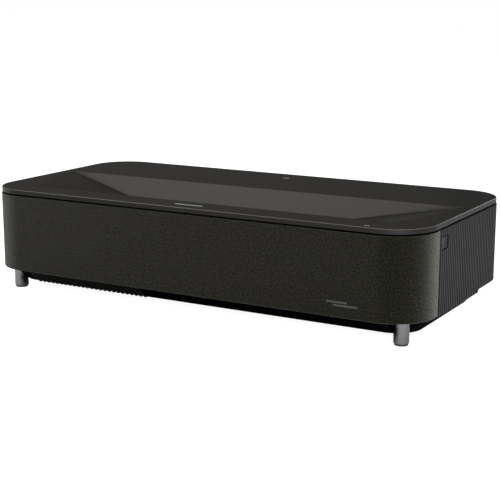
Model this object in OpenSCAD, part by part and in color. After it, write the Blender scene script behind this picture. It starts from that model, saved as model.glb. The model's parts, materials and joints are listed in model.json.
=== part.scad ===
// Home projector: low wide cabinet that stands close under its picture and throws the light
// up and back out of a recess in its top.
// Frame: origin in the middle of the footprint on the table, +X to the right seen from the
// fabric front, -Y to the front, +Y to the wall, +Z up. Millimetres.

/* [Cabinet] */
// Width of the cabinet
body_w = 695; // [680:1:720]
// Depth of the cabinet
body_d = 336; // [332:1:350]
// Height above the table
body_h = 155; // [152:1:165]
// Plan radius of the cabinet corners
corner_r = 60; // [52:1:66]
// Thickness of the rim of the top cover
rim_t = 6.7; // [5.5:0.1:8]
// Shadow gap under the top cover
shadow_gap = 1.4; // [1:0.1:2.5]
// Height of the grille's lower edge above the table
skirt_z = 33.5; // [31:0.5:38]
// Height of the flat underside above the table
floor_z = 12.1; // [10:0.1:14]
// Wall thickness of the lower case
case_wall = 2.5; // [2:0.1:3.5]

/* [Light recess] */
// Distance from the front face to the recess
recess_front = 45; // [42:1:52]
// Depth of the recess below the top face
recess_depth = 35.4; // [30:0.2:38]
// Half width of the recess at its rear edge
recess_rear_half = 333; // [322:1:336]
// Place of the recess's rear edge, from the middle
recess_rear_y = 25; // [20:1:30]
// Place of the foot of the ramp, from the middle
ramp_foot_y = -50; // [-54:1:-46]

/* [Side louvres] */
// Distance between the ribs
rib_pitch = 6.8; // [6:0.1:9]
// Height of a rib above its panel
rib_h = 2.2; // [1.5:0.1:3]
// Thickness of the ribbed panel
louvre_t = 2.5; // [2:0.1:3]
// Place of the seam between fabric and louvre
seam_y = -99; // [-102:1:-96]
// Place where the louvre's lower edge steps up towards the wall
louvre_step_y = 55; // [48:1:62]
// Height of that step
louvre_step = 4.1; // [3:0.1:5]

/* [Intake cover] */
// Left end of the intake cover
intake_x0 = -279; // [-284:1:-270]
// Number of intake ribs
intake_ribs = 24; // [16:1:25]
// Distance between the intake ribs
intake_pitch = 8; // [7:0.5:8]

/* [Feet] */
// Radius of a front foot
foot_r = 10.3; // [8:0.1:11]
// Sideways place of the front feet
foot_x = 312.2; // [308:0.2:316]
// Place of the front feet, from the middle
foot_y = -133.9; // [-136:0.1:-130]
// Travel of a front foot
foot_travel = 8; // [4:1:9]

/* [Button] */
// Width of the power button
button_w = 21.6; // [18:0.1:22]
// Height of the power button
button_h = 20.3; // [16:0.1:21]
// Height of the button's middle above the table
button_z = 128.2; // [124:0.1:129]
// Place of the button's middle, from the middle of the cabinet
button_y = -80; // [-82:0.5:-78]

/* [Shutter drive] */
// Module of the shutter's rack and pinion
rack_module = 1.5; // [1.5]
// Teeth on the shutter pinion
pinion_teeth = 16; // [16]
// Module of the focus gears
focus_module = 1; // [1]
// Teeth on the focus ring
focus_teeth = 66; // [66]
// Teeth on the focus motor's gear
focus_gear_teeth = 12; // [12]

/* [Fans and wheel] */
// Outside size of a fan frame
fan_size = 80; // [70:1:80]
// Thickness of a fan frame
fan_t = 25; // [20:1:25]
// Blades on a fan rotor
fan_blades = 7; // [5:1:9]
// Radius of the phosphor wheel
wheel_r = 27; // [22:1:30]

/* [Hidden] */
$fn = 96;

eps = 0.01;
half_w = body_w / 2;
half_d = body_d / 2;
// Heights of the cabinet's bands
rim_z = body_h - rim_t;
skin_top_z = rim_z - shadow_gap;
case_top_z = rim_z - rim_t;
inner_z = floor_z + case_wall;
// Insets from the outermost outline
cover_inset = 0.8;
cover_chamfer = 1.2;
cover_skin = 3;
case_inset = 9;
cloth_t = 0.8;
frame_t = 3;
louvre_back = rib_h + louvre_t;
case_x = half_w - case_inset;
case_y = half_d - case_inset;
case_in_x = case_x - case_wall;
case_in_y = case_y - case_wall;
// Underside outline: the front bevel, the tucked-in sides and the wide rear corners
under_front = 36;
under_side = 24;
under_rear = 14;
under_r = 38;
under_rear_r = 94;
under_y = -half_d + under_front;
bevel_run = under_front - case_inset;
bevel_rise = skirt_z - floor_z;
bevel_turn = 180 - atan(bevel_rise / bevel_run);
// Light recess
recess_front_y = -half_d + recess_front;
recess_floor_z = body_h - recess_depth;
ramp_run = recess_rear_y - ramp_foot_y;
ramp_len = sqrt(pow(ramp_run, 2) + pow(recess_depth, 2));
ramp_turn = atan(recess_depth / ramp_run);
ramp_foot_half = 100;
recess_side_lean = 0.29;
side_slope = (recess_rear_half - recess_side_lean * ramp_run - ramp_foot_half) / recess_depth;
recess_wall = 2.2;
ramp_t = 1.2;
ramp_step = ramp_t / cos(ramp_turn);
// Window opening in the recess floor
window_half_w = 72;
window_y0 = -116;
window_y1 = -68;
// Shutter
shutter_z = 114.9;
shutter_t = 2;
shutter_half_w = 80;
shutter_y0 = -120;
shutter_y1 = -64;
rack_y0 = -122;
rack_y1 = -58;
rack_pitch_x = 85.5;
rack_root_x = rack_pitch_x - 1.25 * rack_module;
pinion_r = rack_module * pinion_teeth / 2;
pinion_x = rack_pitch_x + pinion_r;
pinion_y = -63;
gear_backlash = 0.25;
// Window frame under the shutter
wframe_z0 = 107.4;
wframe_z1 = 114.4;
wframe_y1 = -6;
cheek_x0 = 74;
cheek_x1 = 78;
// Lens
lens_z = 78;
barrel_r = 26;
ring_gap = 0.06;
ring_y0 = -40;
ring_y1 = -31;
focus_ring_r = focus_module * focus_teeth / 2;
focus_gear_r = focus_module * focus_gear_teeth / 2;
focus_axis_x = focus_ring_r + focus_gear_r;
// Engine housing
engine_x0 = -60;
engine_x1 = 70;
engine_y0 = 5;
engine_y1 = 92;
engine_z1 = 108;
// Phosphor wheel
wheel_x = -92;
wheel_y = 60;
wheel_z = 68;
shaft_gap = 0.06;
// Laser bank and heat sink
bank_x0 = -160;
bank_x1 = -128;
sink_x0 = -228;
sink_y0 = 28;
sink_y1 = 92;
sink_z0 = 34;
sink_z1 = 112;
pipe_r = 3;
// Fans
fan_y = 10;
fan_z = 80;
side_fan_x = 310;
laser_fan_x = -258;
laser_fan_y = 60;
rotor_hub_r = 17;
rotor_gap = 1;
// Speakers
woofer_x = 215;
woofer_z = 86;
woofer_r = 36;
flange_r = 41;
cone_r = 31;
box_back_y = -95;
tweeter_x = 140;
tweeter_z = 100;
tweeter_r = 14;
// Boards
board_t = 1.6;
main_z = 66;
power_z = 24;
port_z = 72;
port_face_y = 166.5;
hdmi_x = [124, 152, 180];
usb_x = 208;
optical_x = 234;
inlet_x = 72;
inlet_z = 54;
// Fasteners and bosses
peg_r = 3;
pegs = [for (x = [-280, -90, 90, 280]) for (z = [46, 134]) [x, z]];
screw_r = 1.5;
screws = [for (x = [-290, -100, 100, 290]) for (y = [-60, 125]) [x, y]];
mount_dx = 300;
mount_dy = 180;
mount_hole_r = 2.1;
mount_hole_len = 9;
boss_top_z = inner_z + 9;
// Front feet: metal sleeve over a stud, rubber pad below, brass insert in the case
foot_neck_z = 31.5;
notch_gap = 2.2;
foot_pad_t = 2.5;
stud_r = 4;
stud_z0 = 1;
stud_z1 = 52;
insert_r = 6;
insert_z0 = 34;
insert_z1 = 54;
rear_foot_x = 262;
rear_foot_y = 112;

cover_color = [0.22, 0.22, 0.21];
ramp_color = [0.36, 0.36, 0.35];
fabric_color = [0.28, 0.27, 0.24];
louvre_color = [0.25, 0.25, 0.25];
case_color = [0.07, 0.07, 0.07];
metal_color = [0.75, 0.75, 0.76];
dark_metal_color = [0.45, 0.45, 0.46];
board_color = [0.05, 0.3, 0.15];
glass_color = [0.6, 0.75, 0.8];
brass_color = [0.75, 0.6, 0.3];
rubber_color = [0.1, 0.1, 0.1];

// ---- Shared outlines -------------------------------------------------------------------

// Rectangle with round corners between two opposite corners
module round_rect(x0, y0, x1, y1, r) {
    translate([x0 + r, y0]) square([x1 - x0 - 2 * r, y1 - y0]);
    translate([x0, y0 + r]) square([x1 - x0, y1 - y0 - 2 * r]);
    for (x = [x0 + r, x1 - r])
        for (y = [y0 + r, y1 - r])
            translate([x, y]) circle(r);
}

// Plan outline of the cabinet, moved inwards by inset
module plan(inset) {
    round_rect(-half_w + inset, -half_d + inset, half_w - inset, half_d - inset, corner_r - inset);
}

// Ring between two insets of the plan outline
module plan_ring(inset0, inset1) {
    difference() {
        plan(inset0);
        plan(inset1);
    }
}

// Corner discs of the flat underside, moved inwards by inset. Their hull is its outline.
module under_corners(inset) {
    side = half_w - under_side;
    for (x = [-side + under_r, side - under_r])
        translate([x, under_y + under_r]) circle(under_r - inset);
    for (x = [-side + under_rear_r, side - under_rear_r])
        translate([x, half_d - under_rear - under_rear_r]) circle(under_rear_r - inset);
}

// Places children on the front bevel: local X along it, local Y up it, local Z outwards
module on_bevel() {
    translate([0, under_y, floor_z]) rotate([bevel_turn, 0, 0]) children();
}

// Box between two corners
module block(low, high) {
    translate(low) cube(high - low);
}

// Cylinder along +X from x0 to x1 round the point (y, z)
module rod_x(x0, x1, y, z, r) {
    translate([x0, y, z]) rotate([0, 90, 0]) cylinder(h = x1 - x0, r = r);
}

// Cylinder along +Y from y0 to y1 round the point (x, z)
module rod_y(y0, y1, x, z, r) {
    translate([x, y0, z]) rotate([-90, 0, 0]) cylinder(h = y1 - y0, r = r);
}

// Cylinder along +Z from z0 to z1 round the point (x, y)
module rod_z(z0, z1, x, y, r) {
    translate([x, y, z0]) cylinder(h = z1 - z0, r = r);
}

// Places children at (x, z) on the front or rear, with local Y running into -Y
module facing_y(y) {
    translate([0, y, 0]) rotate([90, 0, 0]) children();
}

// Two mirrored copies, left and right
module both_sides() {
    children();
    mirror([1, 0, 0]) children();
}

// Gear outline: straight-flanked teeth on a root circle, a gap of backlash on every flank
module gear_outline(teeth, m) {
    pitch = m * teeth / 2;
    outer = pitch + m;
    root = pitch - 1.25 * m;
    step = 360 / teeth;
    lean = tan(20);
    thick = PI * m / 2 - 2 * gear_backlash;
    foot = thick / 2 + 1.25 * m * lean;
    tip = thick / 2 - m * lean * 0.86;
    circle(root);
    for (i = [0 : teeth - 1])
        rotate(i * step)
            polygon([[root - 1, -foot], [root, -foot], [pitch, -thick / 2], [outer - 0.1, -tip],
                [outer - 0.1, tip], [pitch, thick / 2], [root, foot], [root - 1, foot]]);
}

// ---- Case and covers -------------------------------------------------------------------

// Solid of the lower case, moved inwards by inset and starting at height z
module case_form(inset, z, top) {
    hull() {
        translate([0, 0, z]) linear_extrude(eps) under_corners(inset);
        translate([0, 0, skirt_z - eps]) linear_extrude(eps) plan(case_inset + inset);
    }
    translate([0, 0, skirt_z - eps]) linear_extrude(top - skirt_z + eps) plan(case_inset + inset);
}

// Screw boss or stud boss on the case floor
module floor_boss(p, r, top) {
    rod_z(inner_z - eps, top, p[0], p[1], r);
}

// Open corner notch that a front foot stands in, grown by its wall
module foot_notch(wall) {
    reach = foot_r + notch_gap + wall;
    block([foot_x - reach, -half_d, 0], [half_w, foot_y + reach, skirt_z + wall]);
}

module lower_case() {
    color(case_color)
        difference() {
            union() {
                difference() {
                    case_form(0, floor_z, case_top_z);
                    case_form(case_wall, inner_z, body_h);
                }
                for (p = screws)
                    floor_boss(p, 4.5, boss_top_z);
                for (x = [-mount_dx / 2, mount_dx / 2])
                    for (y = [-mount_dy / 2, mount_dy / 2])
                        floor_boss([x, y], 6, boss_top_z);
                // Towers that guide the front feet, and the walls of their notches
                intersection() {
                    case_form(0, floor_z, case_top_z);
                    both_sides() {
                        rod_z(floor_z, insert_z1 + 4, foot_x, foot_y, foot_r + 3.2);
                        foot_notch(case_wall);
                    }
                }
            }
            // Front foot notches and the seats of the threaded inserts
            both_sides() {
                foot_notch(0);
                rod_z(0, insert_z0, foot_x, foot_y, foot_r + 0.5);
                rod_z(insert_z0 - 1, insert_z1, foot_x, foot_y, insert_r);
            }
            // Opening behind the intake cover
            on_bevel() block([intake_x0 - 1, 1.2, -6], [intake_x0 + intake_ribs * intake_pitch + 5, 32.4, 6]);
            // Grille peg holes
            for (p = pegs)
                rod_y(-case_y - 1, -case_in_y + 1, p[0], p[1], peg_r + 0.08);
            // Speaker openings
            both_sides() {
                rod_y(-case_y - 1, -case_in_y + 1, woofer_x, woofer_z, woofer_r);
                rod_y(-case_y - 1, -case_in_y + 1, tweeter_x, tweeter_z, tweeter_r);
            }
            // Fan openings behind the louvres
            both_sides() block([case_in_x - 1, fan_y - 34, fan_z - 34], [case_x + 1, fan_y + 34, fan_z + 34]);
            // Port openings in the rear wall
            for (x = hdmi_x)
                block([x - 8.5, case_in_y - 1, port_z - 4], [x + 8.5, case_y + 1, port_z + 4]);
            block([usb_x - 8, case_in_y - 1, port_z - 4.5], [usb_x + 8, case_y + 1, port_z + 4.5]);
            block([optical_x - 6, case_in_y - 1, port_z - 6], [optical_x + 6, case_y + 1, port_z + 6]);
            block([inlet_x - 15, case_in_y - 1, inlet_z - 11], [inlet_x + 15, case_y + 1, inlet_z + 11]);
            // Screw and mounting holes
            for (p = screws)
                rod_z(0, inner_z + 6, p[0], p[1], screw_r);
            for (x = [-mount_dx / 2, mount_dx / 2])
                for (y = [-mount_dy / 2, mount_dy / 2])
                    rod_z(0, floor_z + mount_hole_len, x, y, mount_hole_r);
        }
}

// Half width of the recess at depth d below the top face and at y, on its leaning side facets
function recess_half(d, y) =
    recess_rear_half - recess_side_lean * (recess_rear_y - y) - d * side_slope;

// Outline of the recess at depth d, between its front wall and y
module recess_outline(d, y) {
    polygon([[-recess_half(d, recess_front_y), recess_front_y], [recess_half(d, recess_front_y), recess_front_y],
        [recess_half(d, y), y], [-recess_half(d, y), y]]);
}

// Faceted funnel of the recess. The ramp's bed lies step below the ramp's face.
module recess_cut(step) {
    hull() {
        translate([0, 0, body_h]) linear_extrude(2) recess_outline(0, recess_rear_y);
        translate([0, 0, body_h - step]) linear_extrude(eps) recess_outline(step, recess_rear_y);
        translate([0, 0, recess_floor_z]) linear_extrude(eps)
            recess_outline(recess_depth, ramp_foot_y + step / tan(ramp_turn));
    }
}

// Outer form of the recess's walls
module recess_shell() {
    w = recess_wall;
    hull() {
        translate([0, w, body_h - 1]) linear_extrude(eps) offset(delta = w) recess_outline(0, recess_rear_y);
        translate([0, 0, recess_floor_z - w]) linear_extrude(eps)
            offset(delta = w) recess_outline(recess_depth, ramp_foot_y);
    }
}

// Slab under the ramp's face, wider and thicker than the panel
module ramp_slab() {
    thick = 2.5 * ramp_t;
    translate([0, recess_rear_y, body_h]) rotate([ramp_turn, 0, 0]) translate([-half_w, -ramp_len - 5, -thick - 0.02])
        cube([body_w, ramp_len + 15, thick]);
}

module status_outline() {
    round_rect(-2.2, 127, 8.2, 131, 1.9);
}

module sensor_outline() {
    round_rect(267, -157.2, 275, -154.8, 1.1);
}

module inlay_outline() {
    round_rect(-24, -147, 21, -142.6, 1);
}

module top_cover() {
    mark_depth = 1.2;
    color(cover_color)
        difference() {
            union() {
                difference() {
                    hull() {
                        translate([0, 0, rim_z]) linear_extrude(rim_t - cover_chamfer) plan(cover_inset);
                        translate([0, 0, body_h - eps]) linear_extrude(eps) plan(cover_inset + cover_chamfer);
                    }
                    translate([0, 0, rim_z - 1]) linear_extrude(rim_t - cover_skin + 1) plan(case_inset + 3);
                }
                // Lip that stands on the lower case
                translate([0, 0, case_top_z]) linear_extrude(rim_t + 0.2) plan_ring(case_inset, case_inset + case_wall);
                recess_shell();
            }
            recess_cut(ramp_step);
            block([-window_half_w, window_y0, recess_floor_z - 5], [window_half_w, window_y1, recess_floor_z + 5]);
            translate([0, 0, body_h - mark_depth]) linear_extrude(5) {
                status_outline();
                sensor_outline();
            }
            translate([0, 0, body_h - 0.5]) linear_extrude(5) inlay_outline();
        }
}

module ramp_panel() {
    color(ramp_color)
        intersection() {
            ramp_slab();
            recess_cut(ramp_step);
        }
}

module window_bezel() {
    color(case_color)
        translate([0, 0, recess_floor_z]) linear_extrude(1.2)
            difference() {
                round_rect(-window_half_w - 3, window_y0 - 3, window_half_w + 3, window_y1 + 3, 4);
                round_rect(-window_half_w, window_y0, window_half_w, window_y1, 2);
            }
}

module status_lens() {
    color(glass_color) translate([0, 0, body_h - 1.2]) linear_extrude(1.1) status_outline();
}

module sensor_window() {
    color(glass_color) translate([0, 0, body_h - 1.2]) linear_extrude(1.1) sensor_outline();
}

module name_inlay() {
    color(metal_color) translate([0, 0, body_h - 0.5]) linear_extrude(0.45) inlay_outline();
}

// ---- Louvres and rear panel ------------------------------------------------------------

// One rib of the louvre, standing on the panel along +X with its middle on the X axis
module rib_outline() {
    polygon([[-0.4, -2.6], [0, -2.6], [rib_h, -1.5], [rib_h, 1.5], [0, 2.6], [-0.4, 2.6]]);
}

// Plan outline of the right louvre: panel with ribs, or the ribs' backing alone
module louvre_outline(slotted) {
    straight_end = half_d - corner_r;
    first_y = seam_y + 6;
    rib_count = floor((straight_end - first_y) / rib_pitch) + 1;
    turn_step = rib_pitch / corner_r * 180 / PI;
    turn_first = turn_step - (straight_end - first_y - (rib_count - 1) * rib_pitch) / corner_r * 180 / PI;
    turn_count = floor((87 - turn_first) / turn_step) + 1;
    difference() {
        union() {
            intersection() {
                plan_ring(rib_h, louvre_back);
                translate([half_w - corner_r, seam_y + 0.5]) square([corner_r + 1, body_d]);
            }
            for (i = [0 : rib_count - 1])
                translate([half_w - rib_h, first_y + i * rib_pitch]) rib_outline();
            for (i = [0 : turn_count - 1])
                translate([half_w - corner_r, straight_end]) rotate(turn_first + i * turn_step)
                    translate([corner_r - rib_h, 0]) rib_outline();
        }
        if (slotted)
            for (i = [6 : rib_count - 2])
                translate([half_w - louvre_back - 1, first_y + (i + 0.5) * rib_pitch - 0.7]) square([rib_h + louvre_t, 1.4]);
    }
}

// Louvre panel on the +X side
module louvre() {
    foot_z = skirt_z - 2.1;
    slot_z0 = 46;
    slot_z1 = 134;
    difference() {
        union() {
            translate([0, 0, foot_z]) linear_extrude(slot_z0 - foot_z) louvre_outline(false);
            translate([0, 0, slot_z0]) linear_extrude(slot_z1 - slot_z0) louvre_outline(true);
            translate([0, 0, slot_z1]) linear_extrude(skin_top_z - slot_z1) louvre_outline(false);
        }
        // Raised lower edge towards the wall
        block([half_w - corner_r - 1, louvre_step_y, 0], [half_w + 1, half_d + 1, foot_z + louvre_step]);
    }
    for (y = [-60, 90])
        for (z = [42, 138])
            rod_x(case_x, half_w - louvre_back + 0.5, y, z, 4);
}

module left_louvre() {
    color(louvre_color) mirror([1, 0, 0]) louvre();
}

module right_louvre() {
    gap = 0.4;
    color(louvre_color)
        difference() {
            louvre();
            block([half_w - 12, button_y - button_w / 2 - gap, button_z - button_h / 2 - gap],
                [half_w + 1, button_y + button_w / 2 + gap, button_z + button_h / 2 + gap]);
        }
}

module rear_panel() {
    t = 2.7;
    side = half_w - corner_r - 0.4;
    color(louvre_color) {
        facing_y(half_d) linear_extrude(t)
            difference() {
                round_rect(-side, skirt_z + 2, side, skin_top_z, 1);
                for (i = [0 : 30])
                    translate([-270 + i * rib_pitch, 50]) square([2.6, 80]);
                for (x = hdmi_x)
                    translate([x - 8.5, port_z - 4]) square([17, 8]);
                translate([usb_x - 8, port_z - 4.5]) square([16, 9]);
                translate([optical_x - 6, port_z - 6]) square([12, 12]);
                translate([inlet_x - 15, inlet_z - 11]) square([30, 22]);
            }
        for (x = [-277, 0, 277])
            for (z = [42, 138])
                rod_y(case_y, half_d - t + 0.5, x, z, 4);
    }
}

// ---- Fabric front ----------------------------------------------------------------------

// Grille ring between two insets, in front of the seam
module grille_outline(inset0, inset1) {
    intersection() {
        plan_ring(inset0, inset1);
        translate([-half_w - 1, -half_d - 1]) square([body_w + 2, seam_y + half_d + 1]);
    }
}

module grille_frame() {
    in0 = cloth_t;
    in1 = cloth_t + frame_t;
    color(case_color) {
        difference() {
            translate([0, 0, skirt_z + cloth_t]) linear_extrude(skin_top_z - skirt_z - 2 * cloth_t)
                grille_outline(in0, in1);
            // Sound openings behind the cloth
            for (i = [-4 : 4])
                block([i * 66 - 27, -half_d - 1, 54], [i * 66 + 27, -half_d + 6, 122]);
        }
        for (p = pegs)
            rod_y(-half_d + in1 - 0.5, -case_in_y + 1.5, p[0], p[1], peg_r);
    }
}

// Plain plate let into the cloth
module badge_form(t) {
    facing_y(-half_d + 0.5) linear_extrude(t) round_rect(220, 48, 266, 56, 1.5);
}

module grille_cloth() {
    color(fabric_color)
        difference() {
            translate([0, 0, skirt_z]) linear_extrude(skin_top_z - skirt_z)
                grille_outline(0, cloth_t + frame_t);
            badge_form(2);
            translate([0, 0, skirt_z + cloth_t]) linear_extrude(skin_top_z - skirt_z - 2 * cloth_t)
                grille_outline(cloth_t, cloth_t + frame_t + 1);
        }
}

module badge_plate() {
    color(metal_color) badge_form(0.5);
}

// ---- Button ----------------------------------------------------------------------------

module power_button() {
    face = half_w - 0.7;
    color(louvre_color)
        difference() {
            union() {
                block([face - 3.2, button_y - button_w / 2, button_z - button_h / 2],
                    [face, button_y + button_w / 2, button_z + button_h / 2]);
                rod_x(case_x + 2.9, face - 3, button_y, button_z, 3);
            }
            rod_x(face - 0.4, face + 1, button_y, button_z, 1.6);
        }
}

module power_switch() {
    color(metal_color) {
        block([case_x, button_y - 4, button_z - 4], [case_x + 0.8, button_y + 4, button_z + 4]);
        rod_x(case_x + 0.8 - eps, case_x + 1.4, button_y, button_z, 2);
    }
}

// ---- Air intake ------------------------------------------------------------------------

module intake_cover() {
    span = intake_ribs * intake_pitch;
    color(case_color) on_bevel() {
        difference() {
            block([intake_x0 - 0.6, 1.6, -2.6], [intake_x0 + span + 4.6, 32, -0.9]);
            for (i = [0 : intake_ribs - 1])
                block([intake_x0 + i * intake_pitch + 4.4, 5, -5], [intake_x0 + i * intake_pitch + 7.6, 29, 5]);
        }
        for (i = [0 : intake_ribs])
            block([intake_x0 + i * intake_pitch, 1.6, -0.9 - eps], [intake_x0 + i * intake_pitch + 4, 32, 0.6]);
    }
}

// Pleated filter behind the intake cover
module air_filter() {
    pleat = 6;
    deep = 5.5;
    wall = 0.8;
    count = floor((intake_ribs * intake_pitch - 4) / pleat);
    zigzag = [for (i = [0 : 2 * count]) [i * pleat / 2, (i % 2) * deep]];
    back = [for (i = [2 * count : -1 : 0]) [i * pleat / 2, (i % 2) * deep + wall]];
    color([0.85, 0.85, 0.82]) on_bevel()
        translate([intake_x0 + 2, 3, -3.2]) rotate([-90, 0, 0]) linear_extrude(26) polygon(concat(zigzag, back));
}

// ---- Feet and fasteners ----------------------------------------------------------------

module foot_leg(side) {
    edge = 0.8;
    translate([side * foot_x, foot_y, 0])
        rotate_extrude()
            polygon([[0, stud_z0], [stud_r, stud_z0], [stud_r, foot_pad_t], [foot_r - edge, foot_pad_t],
                [foot_r, foot_pad_t + edge], [foot_r, foot_neck_z], [stud_r, foot_neck_z], [stud_r, stud_z1],
                [0, stud_z1]]);
}

// Rubber pad glued under a front foot
module foot_pad(side) {
    x = side * foot_x;
    difference() {
        rod_z(0, foot_pad_t, x, foot_y, foot_r - 1.2);
        rod_z(-1, foot_pad_t + 1, x, foot_y, stud_r);
    }
}

module left_foot_leg() {
    color(metal_color) foot_leg(-1);
}

module right_foot_leg() {
    color(metal_color) foot_leg(1);
}

module left_foot_pad() {
    color(rubber_color) foot_pad(-1);
}

module right_foot_pad() {
    color(rubber_color) foot_pad(1);
}

// Brass sleeves in which the feet's studs turn
module foot_inserts() {
    color(brass_color)
        for (side = [-1, 1])
            difference() {
                rod_z(insert_z0, insert_z1, side * foot_x, foot_y, insert_r);
                rod_z(insert_z0 - 1, insert_z1 + 1, side * foot_x, foot_y, stud_r + 0.06);
            }
}

module rear_feet() {
    color(rubber_color)
        both_sides()
            translate([rear_foot_x, rear_foot_y, 0])
                rotate_extrude() polygon([[0, 0], [10, 0], [12, 2], [12, floor_z], [0, floor_z]]);
}

module base_screws() {
    color(dark_metal_color)
        for (p = screws)
            difference() {
                union() {
                    rod_z(floor_z - 1.6, floor_z, p[0], p[1], 3.2);
                    rod_z(floor_z - eps, inner_z + 6, p[0], p[1], screw_r);
                }
                for (a = [0, 90])
                    translate([p[0], p[1], floor_z - 1.6]) rotate(a) cube([3.6, 0.7, 1.6], center = true);
            }
}

// ---- Shutter and window ----------------------------------------------------------------

module lens_shutter() {
    tooth = rack_module;
    pitch = PI * rack_module;
    half = pitch / 4 - gear_backlash;
    lean = tan(20);
    count = floor((rack_y1 - rack_y0 - 4) / (2 * pitch));
    color(cover_color) {
        block([-shutter_half_w, shutter_y0, shutter_z], [shutter_half_w, shutter_y1, shutter_z + shutter_t]);
        // Guide flange in the groove of the window frame
        block([-shutter_half_w, shutter_y0, shutter_z - 4.4], [-shutter_half_w + 2, shutter_y1, shutter_z + eps]);
        // Rack bar, one tooth gap facing the pinion
        block([shutter_half_w - eps, rack_y0, shutter_z - 2.4], [rack_root_x, rack_y1, shutter_z + shutter_t]);
        translate([rack_root_x - eps, pinion_y, shutter_z - 2.4]) linear_extrude(shutter_t + 2.4)
            for (i = [-12 : 0])
                translate([0, (i + 0.5) * pitch])
                    if (pinion_y + (i + 0.5) * pitch > rack_y0 + 2)
                        polygon([[0, -half - 1.25 * tooth * lean], [2.25 * tooth, -half + tooth * lean],
                            [2.25 * tooth, half - tooth * lean], [0, half + 1.25 * tooth * lean]]);
    }
}

module window_frame() {
    groove_x0 = -shutter_half_w - 0.5;
    groove_x1 = -shutter_half_w + 2.5;
    color(case_color)
        difference() {
            union() {
                block([-84, -122, wframe_z0], [cheek_x1, wframe_y1, wframe_z1]);
                // Tab that carries the shutter motor
                block([cheek_x1 - eps, pinion_y - 14, wframe_z0], [pinion_x + 14, pinion_y + 14, wframe_z0 + 1.6]);
            }
            block([groove_x0, -130, shutter_z - 5], [groove_x1, 0, wframe_z1 + 1]);
            block([-70, window_y0, 100], [70, window_y1, 120]);
            // Seat of the glass
            block([-73, window_y0 - 3, wframe_z0 + 3], [73, window_y1 + 3, 120]);
            // Open space behind the window
            block([-66, window_y1 + 10, 100], [66, wframe_y1 - 6, 120]);
            rod_z(100, 120, pinion_x, pinion_y, 4);
        }
}

module window_gasket() {
    color(rubber_color)
        difference() {
            block([-73, window_y0 - 3, wframe_z0 + 3], [73, window_y1 + 3, wframe_z0 + 4]);
            block([-70, window_y0, 100], [70, window_y1, 120]);
        }
}

module window_glass() {
    color(glass_color) block([-73, window_y0 - 3, wframe_z0 + 4], [73, window_y1 + 3, wframe_z0 + 6.8]);
}

module shutter_pinion() {
    color(metal_color) {
        translate([pinion_x, pinion_y, shutter_z - 2.2]) rotate(180) linear_extrude(4) gear_outline(pinion_teeth, rack_module);
        rod_z(96, shutter_z - 2.1, pinion_x, pinion_y, 1.5);
    }
}

module shutter_motor() {
    color(dark_metal_color)
        difference() {
            union() {
                rod_z(88, wframe_z0, pinion_x, pinion_y, 10);
                rod_z(86, 88 + eps, pinion_x, pinion_y, 4);
            }
            rod_z(95, wframe_z0 + 1, pinion_x, pinion_y, 1.5 + shaft_gap);
        }
}

// ---- Optics ----------------------------------------------------------------------------

module mirror_bracket() {
    color(dark_metal_color) {
        both_sides() {
            block([cheek_x0, -128, inner_z], [cheek_x1, -66, wframe_z0]);
            block([cheek_x1 - eps, -110, inner_z], [cheek_x1 + 12, -90, inner_z + 3]);
        }
        block([-cheek_x0 - eps, -124, inner_z], [cheek_x0 + eps, -98, inner_z + 4]);
    }
}

module concave_mirror() {
    color(metal_color)
        intersection() {
            difference() {
                translate([0, -12, 100]) sphere(r = 113);
                translate([0, -12, 100]) sphere(r = 109);
            }
            block([-cheek_x0, -132, 44], [cheek_x0, -70, 96]);
        }
}

module lens_barrel() {
    color(case_color)
        difference() {
            union() {
                rod_y(-20, engine_y0, 0, lens_z, barrel_r + 3);
                rod_y(-52, -20 + eps, 0, lens_z, barrel_r);
            }
            rod_y(-60, engine_y0 + 1, 0, lens_z, 20);
        }
}

module front_lens() {
    color(glass_color)
        intersection() {
            rod_y(-64, -40, 0, lens_z, 20);
            translate([0, -26, lens_z]) sphere(r = 36);
        }
}

module focus_ring() {
    color(case_color)
        difference() {
            facing_y(ring_y1) translate([0, lens_z]) linear_extrude(ring_y1 - ring_y0)
                rotate(360 / focus_teeth / 2) gear_outline(focus_teeth, focus_module);
            rod_y(ring_y0 - 1, ring_y1 + 1, 0, lens_z, barrel_r + ring_gap);
        }
}

module focus_gear() {
    color(metal_color) {
        facing_y(ring_y1) translate([focus_axis_x, lens_z]) linear_extrude(ring_y1 - ring_y0)
            gear_outline(focus_gear_teeth, focus_module);
        rod_y(ring_y1 - 1, -12, focus_axis_x, lens_z, 1.5);
    }
}

module focus_motor() {
    color(dark_metal_color)
        difference() {
            rod_y(-27, engine_y0, focus_axis_x, lens_z, 8);
            rod_y(-28, -11, focus_axis_x, lens_z, 1.5 + shaft_gap);
        }
}

module engine_housing() {
    wall = 4;
    color(dark_metal_color)
        difference() {
            union() {
                block([engine_x0, engine_y0, 30], [engine_x1, engine_y1, engine_z1]);
                for (x = [engine_x0 + 8, engine_x1 - 8])
                    for (y = [engine_y0 + 8, engine_y1 - 8])
                        rod_z(inner_z, 30 + eps, x, y, 6);
            }
            block([engine_x0 + wall, engine_y0 + wall, 30 + wall], [engine_x1 - wall, engine_y1 - wall, engine_z1 - wall]);
            rod_y(engine_y0 - 1, engine_y0 + wall + 1, 0, lens_z, 18);
            rod_x(engine_x0 - 1, engine_x0 + wall + 1, wheel_y, wheel_z + 14, 8);
        }
}

module prism_block() {
    color(glass_color) block([-14, 30, lens_z - 14], [14, 58, lens_z + 14]);
}

// Three light panels round the prism block, on one base plate
module light_panels() {
    color(board_color) {
        block([-15.5, 32, lens_z - 12], [-14, 56, lens_z + 12]);
        block([14, 32, lens_z - 12], [15.5, 56, lens_z + 12]);
        block([-12, 58, lens_z - 12], [12, 59.5, lens_z + 12]);
        block([-26, 26, 34], [26, 66, lens_z - 14]);
    }
}

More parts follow.
